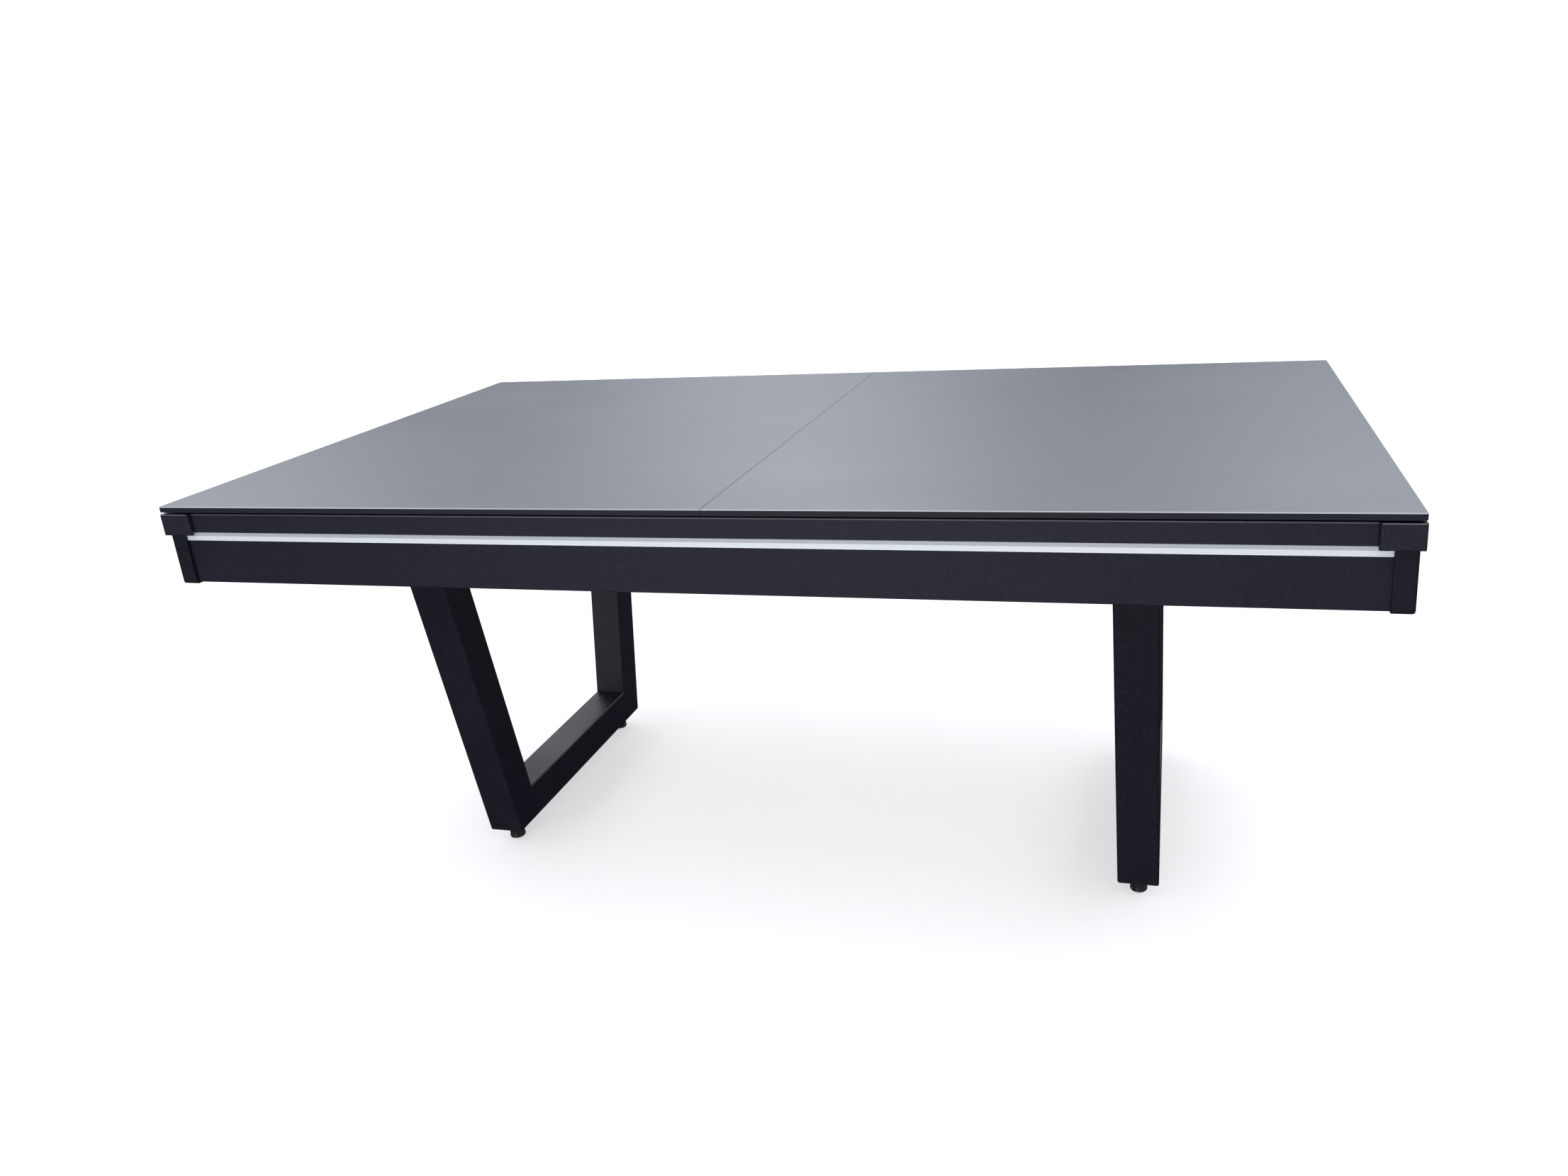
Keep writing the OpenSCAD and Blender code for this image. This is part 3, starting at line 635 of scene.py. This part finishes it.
# outer line of an upright, from the CAD solid's own corners
vs = [v.co for v in NODES["leg_left_back"].data.vertices]
z_bot = min(v.z for v in vs)
y_bot = max(v.y for v in vs if v.z < z_bot + 1e-5)
z_top = max(v.z for v in vs)
y_top = max(v.y for v in vs if v.z > z_top - 1e-5)
y_top_in = min(v.y for v in vs if v.z > z_top - 1e-5)
bar_top = BAR_HI.z
y_in = min(v.y for v in vs)                      # inner top corner at the bar


def tube_ring(t_out, t_in, cx, rad=3.2 * MM, seg=4):
    """Section of the square tube between an outer and an inner point in the leg's plane, with round corners."""
    o, i = Vector(t_out), Vector(t_in)
    L = (o - i).length
    h = TUBE / 2
    pts = []
    for sx, sv, a0 in ((-1, -1, 180), (1, -1, 270), (1, 1, 0), (-1, 1, 90)):
        for k in range(seg + 1):
            a = math.radians(a0 + 90.0 * k / seg)
            u = sx * (h - rad) + rad * math.cos(a)
            v = sv * (h - rad) + rad * math.sin(a)
            f = (v + h) / (2 * h)
            p = i + (o - i) * f
            pts.append((cx + u, p.x, p.y))
    return pts


for side, sgn in (("left", -1), ("right", 1)):
    cx = sgn * abs(LX)
    out = [(-y_top, z_top), (-y_bot, z_bot), (y_bot, z_bot), (y_top, z_top)]
    inn = [(-y_top_in, z_top), (-y_in, bar_top), (y_in, bar_top), (y_top_in, z_top)]
    bm = bmesh.new()
    rings = []
    seam = 0.9 * MM

    def at(k, toward, d):
        """Section at corner k moved by d towards corner `toward`, with the mitre's own tilt."""
        o = Vector(out[k]); i = Vector(inn[k])
        o2 = Vector(out[toward]); i2 = Vector(inn[toward])
        return (o + (o2 - o).normalized() * d, i + (i2 - i).normalized() * d)
    rings.append(tube_ring(out[0], inn[0], cx))
    for k, (prev, nxt) in ((1, (0, 2)), (2, (1, 3))):
        a = at(k, prev, seam)
        rings.append(tube_ring(a[0], a[1], cx))
        base = tube_ring(out[k], inn[k], cx)
        mid = (Vector(out[k]) + Vector(inn[k])) / 2
        # a ground weld seam, a hair below the paint
        ring = []
        for p in base:
            c = Vector((cx, mid.x, mid.y))
            q = Vector(p)
            dirn = Vector((q.x - cx, 0, 0))
            ring.append(tuple(q - (dirn.normalized() * 0.12 * MM if dirn.length > TUBE * 0.45 else Vector((0, 0, 0)))))
        rings.append(ring)
        b = at(k, nxt, seam)
        rings.append(tube_ring(b[0], b[1], cx))
    rings.append(tube_ring(out[3], inn[3], cx))
    loft(bm, rings, cap0=True, cap1=True)
    ob = finish_mesh("leg_loop_" + side, bm, [LEG], smooth_angle=50)
    put(ob, "table", "leg_paint", f"leg_{side}_front", f"leg_{side}_back", f"leg_{side}_bar")
    lo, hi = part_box(f"leg_{side}_plate")
    soften(f"leg_{side}_plate", 0.6 * MM, LEG, name="leg_plate_" + side)
    # weld fillet where each upright meets the plate
    bm = bmesh.new()
    for s in (-1, 1):
        ya, yb = sorted((s * y_top, s * y_top_in))
        ring = rr_outline(cx - TUBE / 2, cx + TUBE / 2, ya, yb, (3.2 * MM,) * 4, 0.0, 4)
        prof = ((0.0, -4.5 * MM), (1.6 * MM, -3.4 * MM), (3.0 * MM, -1.8 * MM), (4.2 * MM, -0.05 * MM))
        rings = []
        for g, dz in prof:
            rings.append([(x, y + s * 0.1729 * dz, z_top + dz) for x, y in rr_outline(cx - TUBE / 2, cx + TUBE / 2, ya, yb, (3.2 * MM,) * 4, -g, 4)])
        loft(bm, rings)
        vv = [v for v in bm.verts]
    put(finish_mesh("leg_weld_" + side, bm, [LEG]), "table", "leg_paint")

# ------------------------------------------------------------------- feet
INS_LO, INS_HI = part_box("foot_inserts")
flange_z = INS_LO.z
bar_z = BAR_LO.z


def thread(bm, c, r, z0, z1, pitch, depth, seg=28, per=8, mat=0):
    n = int((z1 - z0) / pitch * per)
    rings = []
    for i in range(n + 1):
        z = z0 + (z1 - z0) * i / n
        ring = []
        for j in range(seg):
            t = j / seg
            ph = ((z - z0) / pitch - t) % 1.0
            tri = abs(2 * ph - 1)
            fade = min(1.0, (z1 - z) / (1.5 * pitch), (z - z0) / (1.5 * pitch) + 0.2)
            rr = r - depth * min(1.0, tri * 1.25) * max(0.0, fade)
            ring.append((c[0] + rr * math.cos(2 * math.pi * t), c[1] + rr * math.sin(2 * math.pi * t), z))
        rings.append(ring)
    loft(bm, rings, mat=mat)
    return rings


bm_ins = bmesh.new()
for fb in ("front", "back"):
    for lr in ("left", "right"):
        node = f"foot_{fb}_{lr}"
        lo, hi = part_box(node)
        c = ((lo.x + hi.x) / 2, (lo.y + hi.y) / 2)
        R = (hi.x - lo.x) / 2
        bm = bmesh.new()
        # glide: a bright rolled rim, a groove, and a round collar up to the leg
        q = R - 15 * MM
        prof = [(0.0, 0.0), (10.8, 0.0), (12.2, 0.06), (13.1, 0.45), (13.9, 1.05), (14.55, 1.9), (14.9, 2.9), (15.0, 3.9), (15.0, 5.6), (14.85, 6.6), (14.3, 7.7),
                (13.5, 8.55), (13.15, 8.95), (13.0, 9.5), (13.15, 10.0), (13.7, 10.45), (14.1, 10.9), (14.3, 11.6), (14.3, 20.2), (14.1, 20.9), (13.5, 21.35), (12.6, 21.5), (5.9, 21.5)]
        prof = [(r * MM + (q if r > 9 else 0), z * MM) for r, z in prof]
        ms = [1, 1, 1, 0, 0, 0, 0, 1] + [1] * (len(prof) - 8)
        lathe(bm, prof, c, 64, ms)
        top = hi.z
        rings = thread(bm, c, 5.98 * MM, 21.3 * MM, 31.8 * MM, 1.75 * MM, 0.85 * MM, mat=2)
        lathe(bm, [(5.98 * MM, 31.8 * MM), (5.98 * MM, top - 1 * MM), (5.0 * MM, top), (0.0, top)], c, 28, [2, 2, 2, 2])
        put(finish_mesh("glide_" + fb + "_" + lr, bm, [RIM, BLACK, BOLT]), node, "foot_steel", node)
        # insert: chamfered hex flange and sleeve
        rc = 28 * MM / 2 / math.cos(math.pi / 6)
        lathe(bm_ins, [(6.06 * MM, flange_z), (rc - 2.2 * MM, flange_z), (rc, flange_z + 1.3 * MM), (rc, bar_z - 1.4 * MM), (rc - 1.6 * MM, bar_z - 0.06 * MM),
                       (8.0 * MM, bar_z - 0.05 * MM), (8.0 * MM, INS_HI.z), (6.06 * MM, INS_HI.z)], c, 72, None, 28 * MM)
put(finish_mesh("hex_inserts", bm_ins, [BLACK], smooth_angle=28), "table", "insert_steel", "foot_inserts")


# ------------------------------------------------------------------- bolts
def islands(node):
    """Centres of the separate solids of a node, from its vertices."""
    got = []
    for v in NODES[node].data.vertices:
        for g in got:
            if abs(g[0] - v.co.x) < 0.014 and abs(g[1] - v.co.y) < 0.014:
                g[2].append(v.co)
                break
        else:
            got.append([v.co.x, v.co.y, [v.co]])
    out = []
    for g in got:
        xs = [c.x for c in g[2]]; ys = [c.y for c in g[2]]
        out.append(((min(xs) + max(xs)) / 2, (min(ys) + max(ys)) / 2))
    return out


for node, af, rw, hh, rs in (("rail_bolts", 13, 9, 5.4, 4), ("leg_bolts", 16, 10, 5.0, 5)):
    lo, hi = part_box(node)
    bm = bmesh.new()
    rc = af / 2 / math.cos(math.pi / 6) * MM
    z0 = lo.z
    zh = z0 + hh * MM
    for k, c in enumerate(islands(node)):
        lathe(bm, [(0.0, z0 + 0.5 * MM), (rc * 0.50, z0 + 0.5 * MM), (rc * 0.56, z0), (rc * 0.86, z0), (rc, z0 + 0.9 * MM), (rc, zh), (0.0, zh)], c, 48, None, af * MM, 0.35 * k)
        lathe(bm, [(rs * MM, zh), (rw * MM - 0.3 * MM, zh), (rw * MM, zh + 0.3 * MM), (rw * MM, zh + 1.2 * MM), (rw * MM - 0.2 * MM, zh + 1.5 * MM), (rs * MM, zh + 1.5 * MM)], c, 40)
        lathe(bm, [(rs * MM, zh), (rs * MM, hi.z - 0.8 * MM), (rs * MM - 0.7 * MM, hi.z), (0.0, hi.z)], c, 20)
    put(finish_mesh("show_" + node, bm, [BOLT], smooth_angle=28), "table", "bolt_steel", node)

# ------------------------------------------------------------ bed and frame
soften("slate_bed", 0.8 * MM, SLATE, name="slate_slab")
for n in ("bed_beam_front", "bed_beam_back", "cross_members", "end_members", "apron_blocks"):
    soften(n, 1.0 * MM, TIMBER, name="timber_" + n)

SL_LO, SL_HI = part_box("slate_bed")
CL_LO, CL_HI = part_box("bed_cloth")
bed_z = CL_HI.z
cups = {}
for fb in ("front", "back"):
    for col in ("left", "middle", "right"):
        lo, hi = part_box(f"pocket_cup_{fb}_{col}")
        R = max(hi.x - lo.x, hi.y - lo.y) / 2
        # the liner side of a cup is whole, so its outer sides give the centre
        cy = (hi.y - R) if fb == "back" else (lo.y + R)
        cx = 0.0 if col == "middle" else ((hi.x - R) if col == "right" else (lo.x + R))
        cups[(fb, col)] = (cx, cy, R)


def tri_sheet(outer, holes):
    """Triangles of a flat outline with holes, by constrained Delaunay."""
    pts, edges = [], []
    for loop in [outer] + holes:
        b = len(pts)
        pts += [Vector(p) for p in loop]
        edges += [(b + i, b + (i + 1) % len(loop)) for i in range(len(loop))]
    out = geometry.delaunay_2d_cdt(pts, edges, [], 1, 1e-7)
    vs, _, fs = out[0], out[1], out[2]
    keep = []
    for f in fs:
        c = sum((vs[i] for i in f), Vector((0, 0))) / len(f)
        bad = any((c - Vector(h[0])).length < h[1] for h in tri_sheet.circles)
        if not bad:
            keep.append(f)
    return vs, keep


# the cloth: flat over the slate, rolled down into the pocket holes
SEG = 64
circ = []
tri_sheet.circles = []
for (fb, col), (cx, cy, R) in cups.items():
    rh = R + 0.5 * MM + 0.9 * MM
    circ.append([(cx + rh * math.cos(2 * math.pi * i / SEG), cy + rh * math.sin(2 * math.pi * i / SEG)) for i in range(SEG)])
    tri_sheet.circles.append(((cx, cy), rh - 1e-4))
x0, y0, x1, y1 = CL_LO.x, CL_LO.y, CL_HI.x, CL_HI.y
outer = []
# the corner holes run off the cloth's edge only where the CAD cloth ends, so the outline stays a rectangle
outer = [(x0, y0), (x1, y0), (x1, y1), (x0, y1)]
vs2, fs2 = tri_sheet(outer, circ)
bm = bmesh.new()
bv = [bm.verts.new((p.x, p.y, bed_z - 0.05 * MM)) for p in vs2]
for f in fs2:
    bm.faces.new([bv[i] for i in f])
cloth_area = sum(f.calc_area() for f in bm.faces)
# roll each hole's rim down: the hole's boundary edges are extruded in steps
bm.edges.ensure_lookup_table()
for (fb, col), (cx, cy, R) in cups.items():
    rim = [e for e in bm.edges if len(e.link_faces) == 1 and all(abs((v.co.xy - Vector((cx, cy))).length - (R + 1.4 * MM)) < 1e-4 for v in e.verts)]
    for dr, dz in ((-0.45, -0.12), (-0.75, -0.45), (-0.9, -1.0)):
        ret = bmesh.ops.extrude_edge_only(bm, edges=rim)
        nv = [g for g in ret["geom"] if isinstance(g, bmesh.types.BMVert)]
        for v in nv:
            d = (v.co.xy - Vector((cx, cy))).normalized()
            rr = R + 1.4 * MM + dr * MM
            v.co.x = cx + d.x * rr
            v.co.y = cy + d.y * rr
            v.co.z = bed_z - 0.05 * MM + dz * MM * 0.9
        rim = [g for g in ret["geom"] if isinstance(g, bmesh.types.BMEdge)]
ob = finish_mesh("bed_cloth_sheet", bm, [CLOTH], weighted=False)
sol = ob.modifiers.new("thick", "SOLIDIFY")
sol.thickness = 0.55 * MM
sol.offset = -1.0
put(ob, "table", "bed_cloth", "bed_cloth")


# ---------------------------------------------------------------- cushions
def cushion(name, node, axis, sgn, a0, a1, face, cut0, cut1):
    """axis: 0 runs along X, 1 along Y. face is the rail face, sgn the side of the table.
    cut0 and cut1 are how far each end runs back per unit of depth from the nose."""
    # depth from the rail (mm), height above the cloth (mm)
    key = [(0.0, 14.2), (4.0, 13.0), (10.0, 12.2), (12.5, 12.6), (20.0, 17.2), (28.0, 22.3), (36.0, 27.2), (41.0, 30.6), (43.4, 32.6), (44.6, 34.2), (44.95, 35.4),
           (44.7, 36.3), (43.8, 37.0), (42.0, 37.7), (39.0, 38.3), (30.0, 38.95), (20.0, 39.65), (10.0, 40.3), (3.0, 40.75), (1.2, 40.7), (0.3, 40.2), (0.0, 39.0)]
    n_len = 40
    bm = bmesh.new()
    rings = []
    for i in range(n_len + 1):
        t = i / n_len
        ring = []
        for d, h in key:
            s0 = a0 + cut0 * (key_max - d) * MM
            s1 = a1 + cut1 * (key_max - d) * MM
            s = s0 + (s1 - s0) * t
            # the cloth is pulled a little tighter at its tucks
            w = 0.12 * math.sin(math.pi * min(1.0, d / 30.0)) * math.sin(s * 37.0)
            p = [0, 0, bed_z + (h + w * 0.6) * MM]
            p[axis] = s
            p[1 - axis] = sgn * (face - d * MM)
            ring.append(tuple(p))
        rings.append(ring)
    vs = loft(bm, rings)
    for r in (vs[0], vs[-1]):
        bm.faces.new(r)
    ends = [f for f in bm.faces if len(f.verts) == len(key)]
    es = list({e for f in ends for e in f.edges})
    bmesh.ops.recalc_face_normals(bm, faces=bm.faces)
    bmesh.ops.bevel(bm, geom=es, offset=0.9 * MM, segments=2, profile=0.5, affect="EDGES", clamp_overlap=True)
    ob = finish_mesh(name, bm, [CUSH], smooth_angle=40)
    put(ob, "table", "cushion_cloth", node)
    return ob


key_max = 45.0
RF_LO, RF_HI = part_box("rail_back")
RR_LO, RR_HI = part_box("rail_right")
faceY = RF_LO.y
faceX = RR_LO.x
t38 = 1 / math.tan(math.radians(38))
t76 = 1 / math.tan(math.radians(76))
for fb, sy in (("front", -1), ("back", 1)):
    for lr, sx in (("left", -1), ("right", 1)):
        node = f"cushion_{fb}_{lr}"
        lo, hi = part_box(node)
        # nose ends: the box reaches the back ends, so step back by the cut
        if sx > 0:
            n0 = lo.x + 44.9 * MM * t76
            n1 = hi.x - 44.9 * MM * t38
            cushion("cushion_roll_%s_%s" % (fb, lr), node, 0, sy, n0 + 0.0006, n1 - 0.0006, faceY, -t76, t38)
        else:
            n0 = lo.x + 44.9 * MM * t38
            n1 = hi.x - 44.9 * MM * t76
            cushion("cushion_roll_%s_%s" % (fb, lr), node, 0, sy, n0 + 0.0006, n1 - 0.0006, faceY, -t38, t76)
for lr, sx in (("left", -1), ("right", 1)):
    node = "cushion_" + lr
    lo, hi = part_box(node)
    cushion("cushion_roll_" + lr, node, 1, sx, lo.y + 44.9 * MM * t38 + 0.0006, hi.y - 44.9 * MM * t38 - 0.0006, faceX, -t38, t38)


# ------------------------------------------------------------- pocket cups
for (fb, col), (cx, cy, R) in cups.items():
    node = f"pocket_cup_{fb}_{col}"
    lo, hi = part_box(node)
    ri = R - 3.0 * MM
    low = SL_HI.z - 1.0 * MM
    high = hi.z
    if col == "middle":
        face_a = 270.0 if fb == "back" else 90.0
        half = 116.0
    else:
        face_a = {("back", "right"): 225.0, ("back", "left"): 315.0, ("front", "right"): 135.0, ("front", "left"): 45.0}[(fb, col)]
        half = 96.0
    seg = 120

    def ztop(a):
        d = abs((a - face_a + 180.0) % 360.0 - 180.0)
        t = max(0.0, min(1.0, (d - half - 1.0) / 14.0))
        return low + (high - low) * t * t * (3 - 2 * t)
    bm = bmesh.new()
    rings = []
    # outside up, over a rolled lip, inside down, and across the dished floor
    prof = [("o", R - 2.0 * MM, 0.0, lo.z), ("o", R - 0.6 * MM, 0.0, lo.z + 0.7 * MM), ("o", R, 0.0, lo.z + 2.2 * MM)]
    steps = 10
    ring_list = []
    for i in range(3):
        ring_list.append((prof[i][1], prof[i][3], None))
    for i in range(1, steps + 1):
        ring_list.append((R, None, i / steps))
    lip = [(R - 0.45 * MM, 0.95 * MM), (R - 1.5 * MM, 1.4 * MM), (ri + 0.45 * MM, 0.95 * MM)]
    for j, (rr, up) in enumerate(lip):
        ring_list.append((rr, up, "lip"))
    for i in range(steps, 0, -1):
        ring_list.append((ri, None, i / steps))
    ring_list += [(ri, lo.z + 6.5 * MM, None), (ri - 0.9 * MM, lo.z + 4.3 * MM, None), (ri - 3.2 * MM, lo.z + 3.2 * MM, None)]
    for rr, z, t in ring_list:
        ring = []
        for k in range(seg):
            a = 360.0 * k / seg
            zt = ztop(a) - 1.5 * MM
            if t is None:
                zz = z
            elif t == "lip":
                zz = zt + z
            else:
                base = lo.z + (2.2 if rr == R else 6.5) * MM
                zz = base + (zt - base) * t
            ring.append((cx + rr * math.cos(math.radians(a)), cy + rr * math.sin(math.radians(a)), zz))
        rings.append(ring)
    vs = loft(bm, rings)
    # floor with drain holes, inside and under
    tri_sheet.circles = []
    holes = []
    for k in range(6):
        a = math.radians(60 * k)
        hx, hy = cx + ri * 0.55 * math.cos(a), cy + ri * 0.55 * math.sin(a)
        holes.append([(hx + 4 * MM * math.cos(2 * math.pi * q / 20), hy + 4 * MM * math.sin(2 * math.pi * q / 20)) for q in range(20)])
        tri_sheet.circles.append(((hx, hy), 3.9 * MM))
    for ring, z, r0 in ((rings[-1], lo.z + 3.0 * MM, ri - 3.2 * MM), (rings[0], lo.z, R - 2.0 * MM)):
        o2 = [(p[0], p[1]) for p in ring]
        pv, pf = tri_sheet(o2, holes)
        vmap = []
        for p in pv:
            d = math.hypot(p.x - cx, p.y - cy)
            zz = ring[0][2] if d > r0 - 1e-6 else z
            vmap.append(bm.verts.new((p.x, p.y, zz)))
        for f in pf:
            bm.faces.new([vmap[i] for i in f])
    for h in holes:
        loft(bm, [[(x, y, lo.z) for x, y in h], [(x, y, lo.z + 3.0 * MM) for x, y in h]])
    ob = finish_mesh(f"pocket_{fb}_{col}", bm, [PLASTIC], smooth_angle=35, weighted=False)
    put(ob, "table", "pocket_plastic", node)

# ------------------------------------------------------------------ sights
lo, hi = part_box("rail_sights")
bm = bmesh.new()
for c in islands("rail_sights"):
    z = hi.z
    lathe(bm, [(0.0, z - 1.0 * MM), (3.97 * MM, z - 1.0 * MM), (3.97 * MM, z - 0.18 * MM), (3.75 * MM, z - 0.04 * MM), (2.6 * MM, z + 0.0 * MM), (0.0, z + 0.02 * MM)], c, 36)
put(finish_mesh("pearl_sights", bm, [PEARL], smooth_angle=40), "table", "sight", "rail_sights")

# ------------------------------------------------------ floor, light, world
fm, fnt, fp = shader("studio_floor")
fn = noise(fnt, coords(fnt), 1.5, 3.0)
fnt.links.new(mixcol(fnt, fn, (0.72, 0.72, 0.725), (0.75, 0.75, 0.75)), fp.inputs["Base Color"])
fp.inputs["Roughness"].default_value = 0.85
fp.inputs["Specular IOR Level"].default_value = 0.1
fp.inputs["Emission Color"].default_value = (1, 1, 1, 1)
fp.inputs["Emission Strength"].default_value = 0.50
bm = bmesh.new()
bmesh.ops.create_circle(bm, cap_ends=True, radius=30.0, segments=96)
me = bpy.data.meshes.new("floor")
bm.to_mesh(me)
bm.free()
floor = bpy.data.objects.new("floor", me)
floor.location.z = -0.0002
me.materials.append(fm)
scene.collection.objects.link(floor)
floor.visible_glossy = False


def area(name, loc, target, size, power, spread=180.0):
    d = bpy.data.lights.new(name, "AREA")
    d.shape = "RECTANGLE"
    d.size, d.size_y = size
    d.energy = power
    d.spread = math.radians(spread)
    o = bpy.data.objects.new(name, d)
    o.location = loc
    o.rotation_euler = (Vector(target) - Vector(loc)).to_track_quat("-Z", "Y").to_euler()
    scene.collection.objects.link(o)
    return o


area("overhead", (0.0, 0.3, 4.4), (0, 0, 0), (6.5, 5.5), 60.0)

# a soft studio round the object: a bright ceiling, a darker side towards the viewer's
# feet, and broad soft bands along the far wall
world = bpy.data.worlds.new("studio")
scene.world = world
world.use_nodes = True
wn = world.node_tree
bg = wn.nodes["Background"]


def ramp(nt, val, stops, lo, hi):
    """A soft curve through (angle in degrees, value) stops."""
    r = N(nt, "ShaderNodeValToRGB")
    r.color_ramp.interpolation = "EASE"
    el = r.color_ramp.elements
    top = max(v for _, v in stops)
    while len(el) < len(stops):
        el.new(0.5)
    for e, (a, v) in zip(el, stops):
        e.position = (a - lo) / (hi - lo)
    for e, (a, v) in zip(el, stops):
        e.color = (v / top, v / top, v / top, 1.0)
    nt.links.new(remap(nt, val, 0.0, 1.0, lo, hi), r.inputs["Fac"])
    return math_node(nt, "MULTIPLY", r.outputs["Color"], top)


tc = N(wn, "ShaderNodeTexCoord")
sep = N(wn, "ShaderNodeSeparateXYZ")
wn.links.new(tc.outputs["Generated"], sep.inputs[0])
dx, dy, dz = sep.outputs
deg = 180.0 / math.pi
elev = math_node(wn, "MULTIPLY", math_node(wn, "ARCSINE", dz), deg)
az_far = math_node(wn, "MULTIPLY", math_node(wn, "ARCTAN2", dx, dy), deg)
az_near = math_node(wn, "MULTIPLY", math_node(wn, "ARCTAN2", dx, math_node(wn, "MULTIPLY", dy, -1.0)), deg)

FAR_AZ = [(-180, 0.9), (-75, 0.92), (-46, 1.27), (-34, 0.67), (-19, 1.36), (-4, 0.72), (9, 1.16), (40, 1.0), (180, 0.9)]
FAR_AZ_LOW = [(-180, 0.6), (-75, 0.6), (-46, 0.80), (-34, 0.36), (-19, 1.00), (-4, 0.02), (9, 0.30), (40, 0.5), (180, 0.6)]
FAR_EL = [(-90, 0.03), (-32, 0.03), (-24, 0.08), (-14, 0.24), (0, 0.12), (7, 0.16), (19, 1.75), (30, 2.1), (90, 1.6)]
NEAR_AZ = [(-180, 0.3), (-62, 0.02), (-47, 0.005), (-37, 0.35), (-26, 0.66), (-8, 0.60), (5, 0.38), (13, 0.12), (60, 0.15), (180, 0.3)]
NEAR_EL = [(-90, 0.25), (-50, 0.30), (-36, 0.45), (-24, 1.0), (-10, 1.05), (4, 1.3), (18, 2.4), (35, 2.4), (90, 2.4)]
TOP = 1.10
bandmix = N(wn, "ShaderNodeMix", data_type="FLOAT")
wn.links.new(remap(wn, elev, 0.0, 1.0, 7.0, 20.0, smooth=True), bandmix.inputs[0])
wn.links.new(ramp(wn, az_far, FAR_AZ_LOW, -180, 180), bandmix.inputs[2])
wn.links.new(ramp(wn, az_far, FAR_AZ, -180, 180), bandmix.inputs[3])
band = bandmix.outputs[0]
far = math_node(wn, "MULTIPLY", ramp(wn, elev, FAR_EL, -90, 90), band)
near = math_node(wn, "MULTIPLY", ramp(wn, elev, NEAR_EL, -90, 90), ramp(wn, az_near, NEAR_AZ, -180, 180))
side = remap(wn, dy, 0.0, 1.0, -0.35, 0.35, smooth=True)
mixv = N(wn, "ShaderNodeMix", data_type="FLOAT")
wn.links.new(side, mixv.inputs[0])
wn.links.new(near, mixv.inputs[2])
wn.links.new(far, mixv.inputs[3])
up = remap(wn, elev, 0.0, 1.0, 18.0, 42.0, smooth=True)
mixt = N(wn, "ShaderNodeMix", data_type="FLOAT")
wn.links.new(up, mixt.inputs[0])
wn.links.new(mixv.outputs[0], mixt.inputs[2])
mixt.inputs[3].default_value = TOP
bg.inputs["Color"].default_value = (0.965, 1.0, 1.065, 1)
wn.links.new(mixt.outputs[0], bg.inputs["Strength"])
bg2 = wn.nodes.new("ShaderNodeBackground")
bg2.inputs["Color"].default_value = (1, 1, 1, 1)
bg2.inputs["Strength"].default_value = 1.0
lp = wn.nodes.new("ShaderNodeLightPath")
mx = wn.nodes.new("ShaderNodeMixShader")
wn.links.new(lp.outputs["Is Camera Ray"], mx.inputs["Fac"])
wn.links.new(bg.outputs[0], mx.inputs[1])
wn.links.new(bg2.outputs[0], mx.inputs[2])
wn.links.new(mx.outputs[0], wn.nodes["World Output"].inputs["Surface"])
